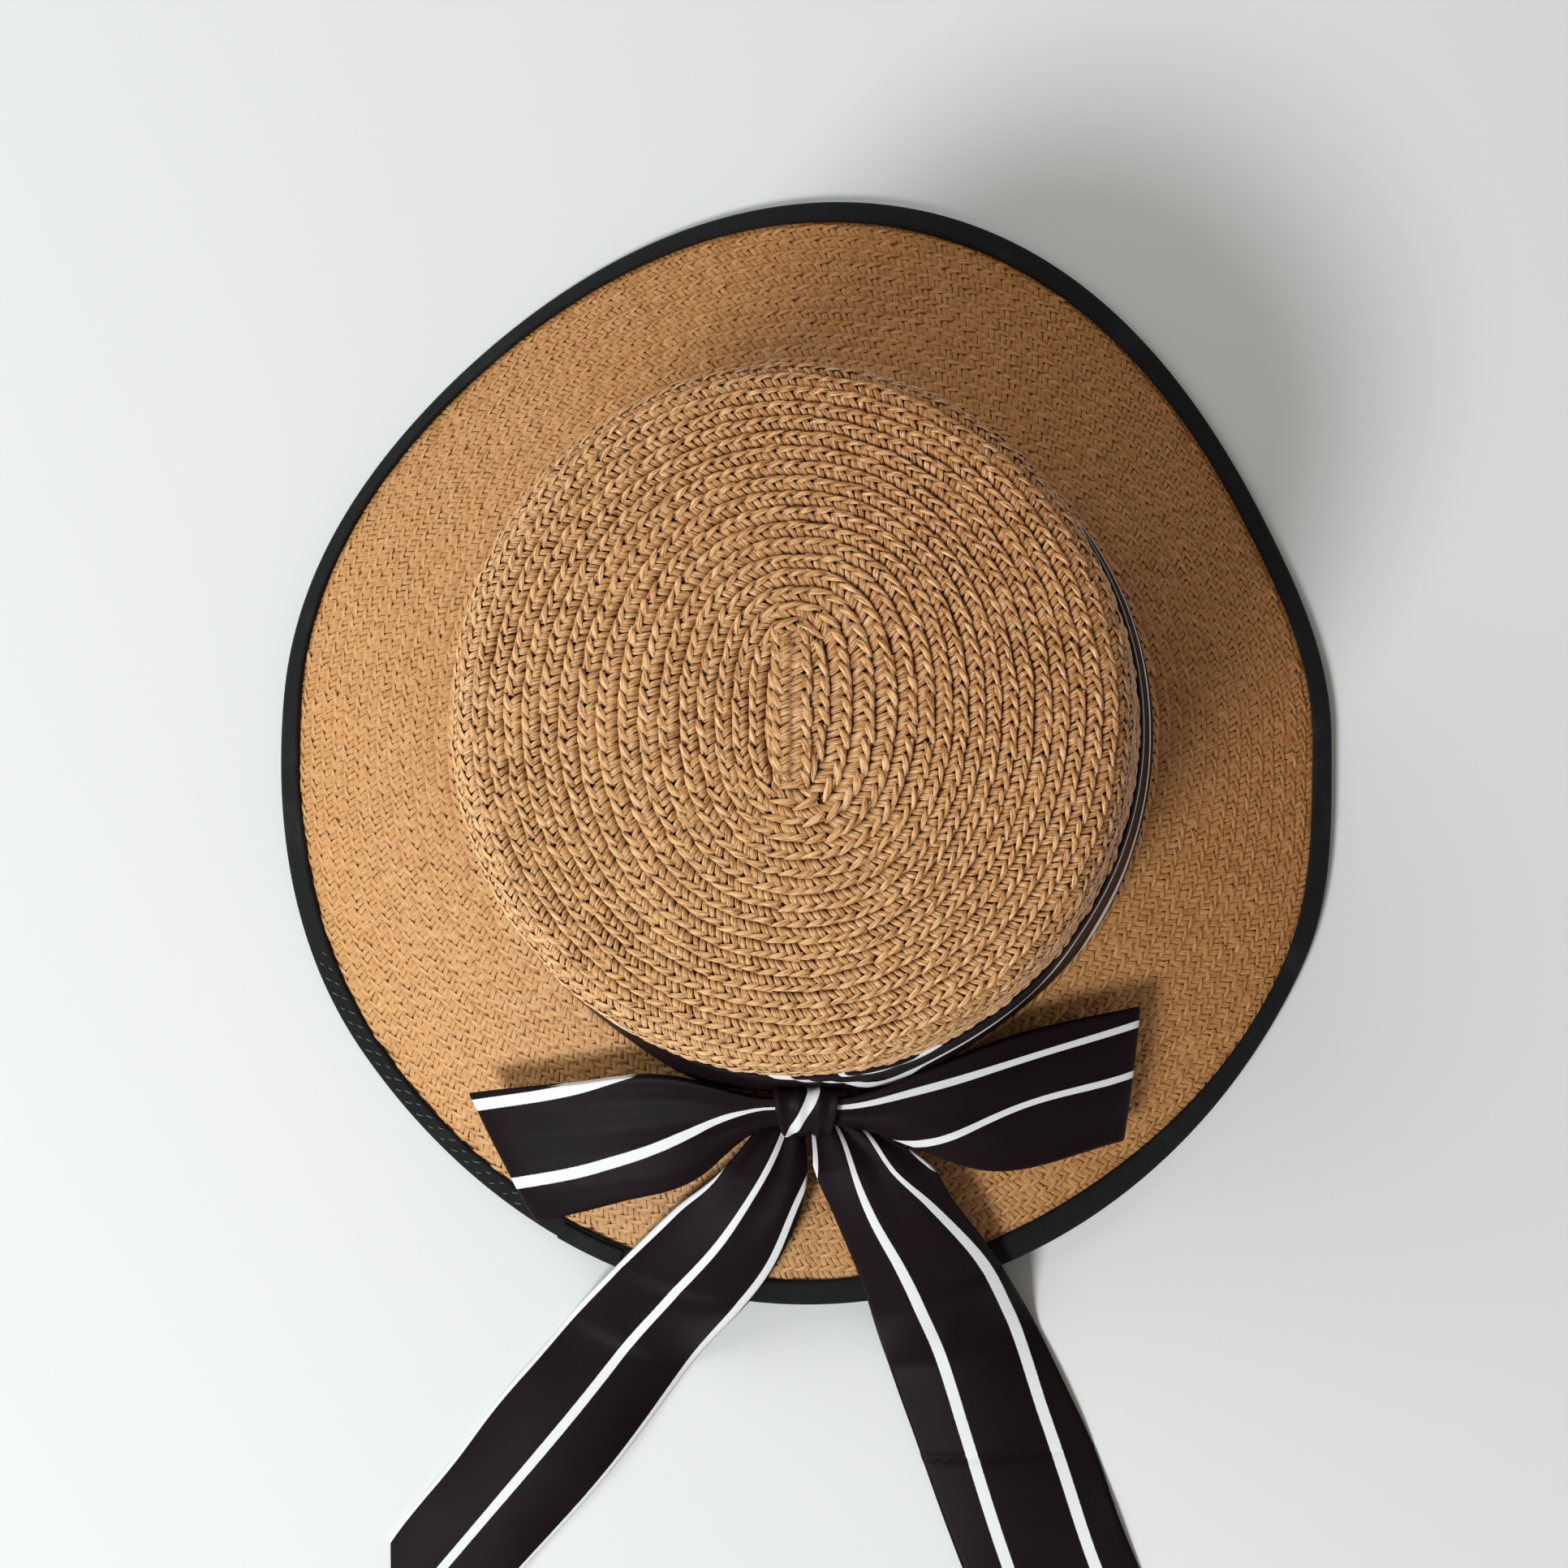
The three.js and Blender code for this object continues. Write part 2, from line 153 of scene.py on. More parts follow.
# The wrap over the bow's middle: its place, its two half widths in section, how it leans
# in degrees, and how its stripe runs across it.
KNOT = {
    "width": 17.2, "x": 0.8, "y": -100.1, "lift": 11.2, "long": 9.0, "short": 5.2, "lean": 45,
    "stripe": 3.0, "slant": 5.0,
}


# ---------------------------------------------------------------------------
# Shape of the hat: every function takes arrays and gives points in metres
# ---------------------------------------------------------------------------


def stack(x, y, z):
    """Points in metres from three arrays in millimetres."""
    return np.stack(np.broadcast_arrays(x, y, z), -1) * MM


def unit(vectors):
    """The same directions with a length of 1."""
    return vectors / np.linalg.norm(vectors, axis=-1, keepdims=True)


def ease(share):
    """A share from 0 to 1 that starts and ends gently."""
    return (1 - np.cos(np.pi * share)) / 2


def brim_edge(angle):
    """Reach, drop and turn of the brim at these angles."""
    turn = np.degrees(angle) % 360
    stations = [row["angle"] for row in BRIM_WAVES]
    index = np.searchsorted(stations, turn, side="right") - 1
    after = (index + 1) % len(stations)
    start = np.take(stations, index)
    span = (np.take(stations, after) - start) % 360
    share = ease((turn - start) / span)
    found = []
    for name in ("reach", "drop", "turn"):
        column = np.array([row[name] for row in BRIM_WAVES], float)
        found.append(column[index] + (column[after] - column[index]) * share)
    return found


def straw_reach(angle):
    """How far the straw itself stands out, inside the tape."""
    return brim_edge(angle)[0] - BINDING_NOSE


def brim_point(angle, along, below=0.0):
    """A point on the brim: along outwards from the crown's foot, below under its upper face."""
    _, drop, turn = brim_edge(angle)
    reach = straw_reach(angle)
    share = along / reach
    steep = np.arctan((turn + 2 * (1 - turn) * share) * drop / reach)
    radius = ROOT_RADIUS + along - below * np.sin(steep)
    z = ROOT_Z - drop * share * (turn + (1 - turn) * share) - below * np.cos(steep)
    return stack(radius * np.cos(angle), radius * np.sin(angle), z)


def neck_point(angle, bend, below=0.0):
    """The turn from wall to brim: bend runs from 0, upright, to a right angle."""
    _, drop, turn = brim_edge(angle)
    share = NECK * (1 - np.cos(bend)) / straw_reach(angle)
    fall = drop * share * (turn + (1 - turn) * share)
    radius = ROOT_RADIUS + NECK - (NECK + below) * np.cos(bend)
    z = ROOT_Z + NECK - (NECK + below) * np.sin(bend) - fall
    return stack(radius * np.cos(angle), radius * np.sin(angle), z)


def crown_point(angle, height, inset=0.0, rise=0.0):
    """A point level with a height over the foot, inset inside the crown's wall."""
    level = np.clip(height / WALL_HEIGHT, 0, 1)
    spread = (1 - level) ** FLARE
    half_x = SHOULDER_X + (ROOT_RADIUS - SHOULDER_X) * spread - inset
    half_y = SHOULDER_Y + (ROOT_RADIUS - SHOULDER_Y) * spread - inset
    x = LEAN * level + half_x * np.cos(angle)
    return stack(x, half_y * np.sin(angle), ROOT_Z + height + rise)


def side_point(angle, down, below=0.0):
    """Down over the shoulder and then the wall, by a distance along the outside."""
    bend = np.clip(down / SHOULDER_ROUND, 0, math.pi / 2)
    round_ = SHOULDER_ROUND - below
    height = WALL_HEIGHT - np.maximum(0, down - SHOULDER_ARC)
    inset = SHOULDER_ROUND - round_ * np.sin(bend)
    return crown_point(angle, height, inset, round_ * np.cos(bend))


def top_point(angle, share, below=0.0):
    """The flat top: share runs from the button's outline to the shoulder."""
    bend = 2 / (2 + OBLONG * (1 - share) ** 2)
    c, s = np.cos(angle), np.sin(angle)
    c, s = np.sign(c) * np.abs(c) ** bend, np.sign(s) * np.abs(s) ** bend
    edge_x, edge_y = SHOULDER_X - SHOULDER_ROUND, SHOULDER_Y - SHOULDER_ROUND
    half_x = BUTTON["half_x"] + (edge_x - BUTTON["half_x"]) * share
    half_y = BUTTON["half_y"] + (edge_y - BUTTON["half_y"]) * share
    drift = DRIFT * DRIFT_PEAK * share**2 * (1 - share) ** 4
    x = BUTTON["x"] + (LEAN - BUTTON["x"]) * share + drift + half_x * c
    y = BUTTON["y"] * (1 - share) + half_y * s
    out = np.hypot((x - LEAN) / edge_x, y / edge_y)
    z = ROOT_Z + WALL_HEIGHT + SHOULDER_ROUND + DOME * (1 - out**2) - below
    return stack(x, y, z)


def table_curve(rows, share):
    """Each named column of a table at these shares, on a smooth curve through its rows."""
    at = np.array([row["at"] for row in rows], float)
    share = np.clip(np.asarray(share, float), 0, 1)
    index = np.clip(np.searchsorted(at, share, side="right") - 1, 0, len(at) - 2)
    span = np.diff(at)
    t = (share - at[index]) / span[index]
    found = {}
    for name in rows[0]:
        if name == "at":
            continue
        value = np.array([row[name] for row in rows], float)
        slope = np.diff(value) / span
        inner = (slope[:-1] * span[1:] + slope[1:] * span[:-1]) / (span[1:] + span[:-1])
        slopes = np.concatenate([slope[:1], inner, slope[-1:]])
        a, b = value[index], value[index + 1]
        ma, mb = slopes[index] * span[index], slopes[index + 1] * span[index]
        found[name] = (
            a * (2 * t**3 - 3 * t**2 + 1)
            + ma * (t**3 - 2 * t**2 + t)
            + b * (3 * t**2 - 2 * t**3)
            + mb * (t**3 - t**2)
        )
    return found


# ---------------------------------------------------------------------------
# Meshes
# ---------------------------------------------------------------------------


def new_object(name, verts, faces, uvs=None, smooth=True):
    """A mesh object from arrays. uvs has one pair for each vertex."""
    mesh = bpy.data.meshes.new(name)
    mesh.from_pydata([tuple(v) for v in verts], [], [tuple(f) for f in faces])
    mesh.update()
    if uvs is not None:
        layer = mesh.uv_layers.new(name="UVMap")
        loops = np.empty(len(mesh.loops), dtype=np.int32)
        mesh.loops.foreach_get("vertex_index", loops)
        layer.data.foreach_set("uv", np.asarray(uvs, np.float32)[loops].ravel())
    if smooth:
        mesh.polygons.foreach_set("use_smooth", [True] * len(mesh.polygons))
    obj = bpy.data.objects.new(name, mesh)
    bpy.context.scene.collection.objects.link(obj)
    return obj


def volume(verts, faces):
    """The volume inside closed faces, negative where they face inwards."""
    tris = [(f[0], f[i], f[i + 1]) for f in faces for i in range(1, len(f) - 1)]
    a, b, c = (np.asarray(verts)[[t[k] for t in tris]] for k in range(3))
    return np.einsum("ij,ij->i", a, np.cross(b, c)).sum() / 6


def loop_mesh(name, points, uvs=None, poles=None):
    """A skin over points (around, section, 3), joined up around. The section is closed too,
    unless two poles are given that close its two ends."""
    count, size = points.shape[:2]
    verts = points.reshape(-1, 3)
    i, j = np.meshgrid(np.arange(count), np.arange(size), indexing="ij")
    i2, j2 = (i + 1) % count, (j + 1) % size
    quads = np.stack([i * size + j, i2 * size + j, i2 * size + j2, i * size + j2], -1)
    faces = quads.reshape(-1, 4).tolist()
    if poles is not None:
        faces = quads[:, :-1].reshape(-1, 4).tolist()
        top, bottom = count * size, count * size + 1
        verts = np.concatenate([verts, poles])
        for k in range(count):
            after = (k + 1) % count
            faces.append([top, after * size, k * size])
            faces.append([bottom, k * size + size - 1, after * size + size - 1])
        if uvs is not None:
            uvs = np.concatenate([uvs.reshape(-1, 2), uvs[0, [0, -1]]])
    if volume(verts, faces) < 0:
        faces = [f[::-1] for f in faces]
    return new_object(name, verts, faces, None if uvs is None else uvs.reshape(-1, 2))


def section_uv(points):
    """U round the skin and V along its section, both in metres."""
    strides = np.linalg.norm(np.roll(points, -1, axis=0) - points, axis=-1).mean(1, keepdims=True)
    u = np.cumsum(np.broadcast_to(strides, points.shape[:2]), axis=0)
    steps = np.linalg.norm(np.diff(points, axis=1), axis=-1)
    v = np.concatenate([np.zeros((len(points), 1)), np.cumsum(steps, axis=1)], axis=1)
    return np.stack([u, v], -1)


def around(count):
    """Angles for the rows of a skin, as a column."""
    return (np.arange(count) * TURN / count)[:, None]


SMALL = 1e-3  # step for slopes, as a share or in radians
SHEET_EDGE = 0.45  # share of a sheet's thickness that its rounded edge keeps

# How finely each plain skin is cut, around or along it, and the ribbon's sheets across it.
CUTS = {"crown": 180, "brim": 216, "tape": 360, "band": 240, "knot": 96, "loop": 128, "tail": 176}
SHEET_CUTS = 48


def sheet_mesh(name, place, chart, along, across, thickness):
    """A closed thin sheet about the surface place(u, v), both arrays, with rounded edges."""
    u, v = np.meshgrid(np.linspace(0, 1, along + 1), np.linspace(0, 1, across + 1), indexing="ij")
    lengthwise = place(np.clip(u + SMALL, 0, 1), v) - place(np.clip(u - SMALL, 0, 1), v)
    crosswise = place(u, np.clip(v + SMALL, 0, 1)) - place(u, np.clip(v - SMALL, 0, 1))
    normal = unit(np.cross(lengthwise, crosswise))
    middle = place(u, v)
    uvs = chart(u, v).reshape(-1, 2)
    thin = np.ones_like(u)
    thin[:, [0, -1]] = SHEET_EDGE
    thin[[0, -1], :] = SHEET_EDGE
    offset = normal * (thin * thickness * MM / 2)[..., None]
    verts = np.concatenate([(middle + offset).reshape(-1, 3), (middle - offset).reshape(-1, 3)])
    width = across + 1
    under = (along + 1) * width
    i, j = np.meshgrid(np.arange(along), np.arange(across), indexing="ij")
    a = (i * width + j).ravel()
    top = np.stack([a, a + width, a + width + 1, a + 1], -1)
    bottom = top[:, ::-1] + under
    rim = (
        [j for j in range(across)]
        + [i * width + across for i in range(along)]
        + [along * width + j for j in range(across, 0, -1)]
        + [i * width for i in range(along, 0, -1)]
    )
    after = rim[1:] + rim[:1]
    side = [(p, q, q + under, p + under) for p, q in zip(rim, after)]
    faces = top.tolist() + bottom.tolist() + side
    if volume(verts, faces) < 0:
        faces = [f[::-1] for f in faces]
    return new_object(name, verts, faces, np.concatenate([uvs, uvs]))


# ---------------------------------------------------------------------------
# Shader maths
# ---------------------------------------------------------------------------


class Value:
    """A shader socket that can be added, multiplied and compared like a number."""

    def __init__(self, tree, socket):
        self.tree, self.socket = tree, socket

    def math(self, operation, *others, clamp=False):
        """One step of arithmetic."""
        node = self.tree.nodes.new("ShaderNodeMath")
        node.operation, node.use_clamp = operation, clamp
        for slot, item in zip(node.inputs, (self, *others)):
            put(self.tree, slot, item)
        return Value(self.tree, node.outputs[0])

    def __add__(self, other):
        return self.math("ADD", other)

    __radd__ = __add__

    def __mul__(self, other):
        return self.math("MULTIPLY", other)

    def __sub__(self, other):
        return self.math("SUBTRACT", other)

    def __rsub__(self, other):
        return (self * -1.0) + other

    def __truediv__(self, other):
        return self.math("DIVIDE", other)

    def __abs__(self):
        return self.math("ABSOLUTE")

    def wave(self):
        return self.math("SINE")

    def fraction(self):
        return self.math("FRACT")

    def clamp(self):
        return self.math("ADD", 0.0, clamp=True)

    def span(self, low, high, to_low=0.0, to_high=1.0):
        """Smooth step from low to high."""
        node = self.tree.nodes.new("ShaderNodeMapRange")
        node.interpolation_type = "SMOOTHSTEP"
        for slot, item in zip(node.inputs, (self, low, high, to_low, to_high)):
            put(self.tree, slot, item)
        return Value(self.tree, node.outputs[0])


def put(tree, slot, item):
    """Joins a value to a socket, or sets the socket to a plain number or colour."""
    if isinstance(item, Value):
        tree.links.new(item.socket, slot)
    else:
        slot.default_value = item


class Shader:
    """One material with a Principled surface."""

    def __init__(self, name):
        self.material = bpy.data.materials.new(name)
        self.material.use_nodes = True
        self.tree = self.material.node_tree
        self.surface = self.tree.nodes["Principled BSDF"]

    def node(self, kind, outputs=0, settings=None, **sockets):
        """Any node: its settings, its socket values by name, and the wanted output."""
        made = self.tree.nodes.new(kind)
        for key, value in (settings or {}).items():
            setattr(made, key, value)
        for key, value in sockets.items():
            put(self.tree, made.inputs[key.replace("_", " ")], value)
        return Value(self.tree, made.outputs[outputs])

    def attribute(self, name):
        """A number that the mesh carries at its points."""
        return self.node("ShaderNodeAttribute", "Fac", {"attribute_name": name})

    def uv(self):
        """The U and V of the piece's own map, in metres."""
        vector = self.node("ShaderNodeUVMap", 0, {"uv_map": "UVMap"})
        return tuple(self.node("ShaderNodeSeparateXYZ", axis, Vector=vector) for axis in "XY")

    def place(self, axis):
        """How far along one axis of the hat, in metres."""
        return self.node("ShaderNodeSeparateXYZ", axis, Vector=self.node("ShaderNodeTexCoord", "Object"))

    def vector(self, x=0.0, y=0.0, z=0.0):
        """Three values as one vector."""
        return self.node("ShaderNodeCombineXYZ", 0, None, X=x, Y=y, Z=z)

    def noise(self, scale, vector=None, detail=3.0, roughness=0.55):
        """Soft noise with this many cells for each unit of the vector, or for each metre."""
        vector = vector or self.node("ShaderNodeTexCoord", "Object")
        return self.node(
            "ShaderNodeTexNoise", 0, None, Vector=vector, Scale=scale, Detail=detail, Roughness=roughness
        )

    def mix(self, share, low, high):
        """A colour between two colours. The node's colour sockets come after those for
        numbers and vectors."""
        made = self.tree.nodes.new("ShaderNodeMix")
        made.data_type = "RGBA"
        for slot, item in ((0, share), (6, low), (7, high)):
            put(self.tree, made.inputs[slot], item)
        return Value(self.tree, made.outputs[2])

    def bump(self, height, distance, strength=1.0):
        """A surface that seems raised by a height from 0 to 1 times a distance in metres."""
        return self.node("ShaderNodeBump", 0, None, Height=height, Distance=distance, Strength=strength)

    def set(self, **sockets):
        """Sets the surface's sockets, and gives the material."""
        for key, value in sockets.items():
            put(self.tree, self.surface.inputs[key.replace("_", " ")], value)
        return self.material


# ---------------------------------------------------------------------------
# Materials
# ---------------------------------------------------------------------------

STRAW_GLINT = (0.92, 0.70, 0.47, 1)
STRAW_PALE = (0.76, 0.42, 0.165, 1)
STRAW_MID = (0.43, 0.175, 0.042, 1)
STRAW_DEEP = (0.20, 0.058, 0.0095, 1)
STRAW_SHADOW = (0.045, 0.011, 0.0016, 1)
STRAW_HOLE = (0.02, 0.005, 0.001, 1)
TAPE_BLACK = (0.0085, 0.0085, 0.0092, 1)
TAPE_WORN = (0.02, 0.02, 0.022, 1)
SATIN_DEEP = (0.0066, 0.0033, 0.0043, 1)
SATIN_PALE = (0.0108, 0.0058, 0.0072, 1)
STRIPE_DULL = (0.70, 0.70, 0.72, 1)
STRIPE_WHITE = (0.84, 0.84, 0.85, 1)
THREAD_DARK = (0.10, 0.10, 0.11, 1)
THREAD_PALE = (0.19, 0.19, 0.2, 1)
FLOOR_DULL = (0.71, 0.715, 0.71, 1)
FLOOR_PALE = (0.75, 0.755, 0.75, 1)

STITCH = 3.53  # along a row of the braid, mm
ROW = 3.75  # from row to row
LINING_ROW = 3.7  # from row to row on the inner face
ROW_SHIFT = 0.37  # how far the next row's stitches lie on, as a share of a stitch
TAPE_RIB = 0.55
TAPE_CROSS = 0.7
STRIPE_HALF = 1.65  # half the width of a white stripe
STRIPE_BLUR = 0.13
STRIPE_RAGGED = 0.16

# The number that each strand of a stitch carries: strips have 0 and 1.
LEAF_STRAND = 5
CORD_STRAND = 7

# Fibres and weave, in cells for each metre along and across.
STRAW_FIBRES = (420.0, 3600.0)
LINING_FIBRES = (2200.0, 700.0)
SATIN_WEAVE = (1400.0, 9000.0)
STRIPE_EDGE = (900.0, 60.0)


def straw_material(name, contrast, tone, painted_falloff):
    """Split paper straw: the strands' tints differ, with fine fibres along them, and deep
    places are darker, as painted shade. A tint is drawn from numbers that are blended across
    each face, so it also flickers within a strand. painted_falloff says how much paler the
    straw is painted towards the bow and -X, where the lights stand: a painted light falloff."""
    s = Shader(name)
    u, v = s.uv()
    tint = s.attribute("tint")
    strand = s.attribute("strand")
    draw = s.vector(tint * 31.7, strand)
    own = s.node("ShaderNodeTexWhiteNoise", "Value", {"noise_dimensions": "2D"}, Vector=draw)
    along, across = STRAW_FIBRES
    fibres = s.noise(1.0, s.vector(u * along + own * 40.0, v * across, tint * 50.0), 2.0)
    patches = s.noise(38.0, detail=2.0)
    leaf = strand.span(LEAF_STRAND - 2.0, LEAF_STRAND - 1.0)
    level = own * 0.5 + fibres.span(0.38, 0.6) * 0.7 + leaf * 0.18 - 0.65
    level = level - patches.span(0.5, 0.75) * 0.1
    # Painted light falloff: the straw is painted paler towards -X and -Y, where the lights stand, and
    # darker away from them.
    tone = tone - s.place("X") * painted_falloff * 5.0 - s.place("Y") * painted_falloff * 4.0
    pale = s.mix((level * contrast + tone).clamp(), STRAW_MID, STRAW_PALE)
    bright = s.mix(fibres.span(0.55, 0.63) * 0.6 * contrast, pale, STRAW_GLINT)
    seam = fibres.span(0.34, 0.46, 1.0, 0.0) * 0.85
    # Painted shade: deep places and the hanging skirts are darkened towards STRAW_DEEP and STRAW_SHADOW;
    # seam adds the fibres' own dark lines.
    buried = s.attribute("buried") * 0.95
    shade = ((buried + seam).clamp() * contrast).clamp()
    color = s.mix(shade, bright, s.mix(buried, STRAW_DEEP, STRAW_SHADOW))
    bump = s.bump(fibres, 0.0003, 0.8 * contrast)
    return s.set(Base_Color=color, Roughness=0.42 + fibres * 0.16, Normal=bump, Specular_IOR_Level=0.4)


def crisp_straw():
    """The crown's straw, drawn tight over its block."""
    return straw_material("paper straw", 1.0, 0.52, 1.2)


def soft_straw():
    """The brim's straw, pressed flat."""
    return straw_material("pressed paper straw", 0.34, 0.26, 0.3)


def ground_material(name, low, high):
    """What shows between the strands: a dark ground painted as the shade in the gaps."""
    s = Shader(name)
    grain = s.noise(900.0)
    return s.set(Base_Color=s.mix(grain, low, high), Roughness=0.9, Normal=s.bump(grain, 0.0003))


def crisp_ground():
    """Deep gaps between the crown's strands, painted almost black as their shade."""
    return ground_material("straw ground", STRAW_HOLE, STRAW_SHADOW)


def soft_ground():
    """Shallow gaps between the brim's pressed strands, painted in darker straw tones as their shade."""
    return ground_material("pressed straw ground", STRAW_DEEP, STRAW_MID)


def lining_side_material():
    """The braid's inner face: rows of stitches, which run round the hollow."""
    s = Shader("straw inside")
    u, v = s.uv()
    rows = v / (LINING_ROW * MM)
    row = rows.fraction()
    place = (u / (STITCH * MM) + (rows - row) * ROW_SHIFT).fraction()
    strand = (place * 3.0).fraction()
    gap = abs(strand - 0.5).span(0.3, 0.48)
    edge = row.span(0.0, 0.16) * (1.0 - row.span(0.9, 1.0))
    chain = row.span(0.6, 0.68)
    lobe = abs(place - 0.5).span(0.34, 0.5)
    along, across = LINING_FIBRES
    fibres = s.noise(1.0, s.vector(u * along, v * across, place))
    low = (gap * (1.0 - chain) + chain * lobe).clamp()
    height = edge * (1.0 - low * 0.8)
    pale = s.mix(fibres, STRAW_MID, STRAW_PALE)
    # Painted shade: the low places of the drawn stitches are darkened towards STRAW_SHADOW.
    color = s.mix((1.0 - height).clamp(), pale, STRAW_SHADOW)
    return s.set(Base_Color=color, Roughness=0.6, Normal=s.bump(height + fibres * 0.15, 0.0007))


def tape_material():
    """Matte woven tape: fine ribs across it, with a little fuzz."""
    s = Shader("binding tape")
    u, v = s.uv()
    ribs = (u * TURN / (TAPE_RIB * MM)).wave() * 0.5 + 0.5
    cross = (v * TURN / (TAPE_CROSS * MM)).wave() * 0.5 + 0.5
    fuzz = s.noise(1500.0)
    worn = s.noise(60.0).span(0.52, 0.75)
    color = s.mix(worn * 0.7 + fuzz * 0.2, TAPE_BLACK, TAPE_WORN)
    bump = s.bump(ribs * 0.5 + cross * 0.3 + fuzz * 0.6, 0.00012, 0.7)
    s.set(Sheen_Weight=0.03, Sheen_Roughness=0.5, Specular_IOR_Level=0.12)
    return s.set(Base_Color=color, Roughness=0.86, Normal=bump)


def ribbon_material():
    """Black satin with white pin stripes. V is the place across the stripes."""
    s = Shader("striped satin ribbon")
    u, v = s.uv()
    weave, ragged = (
        s.noise(1.0, s.vector(u * along, v * across), 1.0) for along, across in (SATIN_WEAVE, STRIPE_EDGE)
    )
    place = (v / (STRIPE_PERIOD * MM) + 0.5).fraction()
    away = abs(place - 0.5) * (STRIPE_PERIOD * MM) + (ragged - 0.5) * (STRIPE_RAGGED * MM)
    stripe = away.span((STRIPE_HALF - STRIPE_BLUR) * MM, (STRIPE_HALF + STRIPE_BLUR) * MM, 1.0, 0.0)
    blotch = s.noise(22.0, detail=2.0)
    satin = s.mix(blotch.span(0.35, 0.7), SATIN_DEEP, SATIN_PALE)
    color = s.mix(stripe, satin, s.mix(weave, STRIPE_DULL, STRIPE_WHITE))
    bump = s.bump(weave + stripe * 0.5, 0.00006, 0.55)
    roughness = 0.4 + weave * 0.12 + stripe * 0.12
    return s.set(Base_Color=color, Roughness=roughness, Normal=bump, Specular_IOR_Level=0.06)


def thread_material():
    """The tape's sewing thread, a little paler than the tape: a real thread, whose pale grey also stands in
    for the glints where the light catches it.
    """
    s = Shader("sewing thread")
    fuzz = s.noise(2200.0)
    color = s.mix(fuzz, THREAD_DARK, THREAD_PALE)
    return s.set(Base_Color=color, Roughness=0.45, Normal=s.bump(fuzz, 0.0001))


def floor_material():
    """The plain surface that the hat stands on."""
    s = Shader("pale surface")
    color = s.mix(s.noise(1.2, detail=2.0), FLOOR_DULL, FLOOR_PALE)
    return s.set(Base_Color=color, Roughness=0.75, Normal=s.bump(s.noise(400.0), 0.00005, 0.2))


MATERIALS = {}


def material(maker):
    """Each material is made once."""
    if maker not in MATERIALS:
        MATERIALS[maker] = maker()
    return MATERIALS[maker]


# ---------------------------------------------------------------------------
# Sewn braid
# ---------------------------------------------------------------------------

# One strip, from under the row inside it to under its own row's leaves. half is a share of
# the strip's half width, and buried is painted shade that darkens what lies deep.
STRIP = table(
    "at y z half buried",
    (0, -0.75, -0.62, 0.7, 1.0),
    (0.22, 0.1, -0.2, 0.95, 0.4),
    (0.6, 1.2, 0.14, 1.0, 0.0),
    (1, 2.5, -0.2, 0.75, 0.7),
)
# The leaf over the strips' outer ends, from its tail to its tip.
LEAF = table(
    "at x y z half buried",
    (0, -2.3, 1.45, -0.1, 0.28, 0.5),
    (0.3, -1.05, 2.2, 0.32, 0.6, 0.0),
    (0.65, 0.55, 2.8, 0.46, 0.64, 0.0),
    (1, 2.25, 3.15, 0.1, 0.22, 0.25),
)
LEAF_ACROSS = (-0.36, 0.93)  # the way across the leaf, in X and Y
THIN = 0.4  # strands with less half width than this are flatter too
SKIRT = -0.5  # points lower than this in a section hang in the dark and take the full painted shade

# Cross-sections: share of the half width, and height. The outer edges of the leaf and of
# the cord under it have a skirt that hangs to the ground.
FINE = {
    "strip": [(-1, -0.1), (-0.55, 0.25), (-0.05, 0.13), (0.5, 0.3), (1, -0.1)],
    "leaf": [(-1, -0.1), (-0.5, 0.22), (0.05, 0.17), (0.6, 0.2), (1, -0.1), (1.05, -0.9)],
    "stations": (6, 6),
}
CORD = [(-1, -0.3), (0, 0.2), (0.9, 0.0), (1.0, -1.0)]
COARSE = {
    "strip": [(-1, -0.05), (0, 0.29), (1, -0.05)],
    "leaf": [(-1, -0.05), (0, 0.26), (1, -0.06), (1.05, -0.85)],
    "stations": (4, 5),
}

CORD_AT = {"half_x": 1.85, "y": 2.92, "z": 0.1, "half": 0.5, "buried": 0.35}

# Three stitches: where each strip lies along the row, how it slants and its half width,
# and how the leaf is lifted, widened and pushed out.
STITCH_SHAPES = {
    "plain": {"strips": [(-0.95, 1.5, 0.84), (0.85, 1.7, 0.8)], "leaf": (0, 1, 0)},
    "open": {"strips": [(-0.9, 1.9, 0.72), (0.9, 1.1, 0.78)], "leaf": (0.1, 0.94, -0.1)},
    "tight": {"strips": [(-1.0, 1.2, 0.88), (0.75, 2.0, 0.8)], "leaf": (-0.08, 1.1, 0.1)},
}


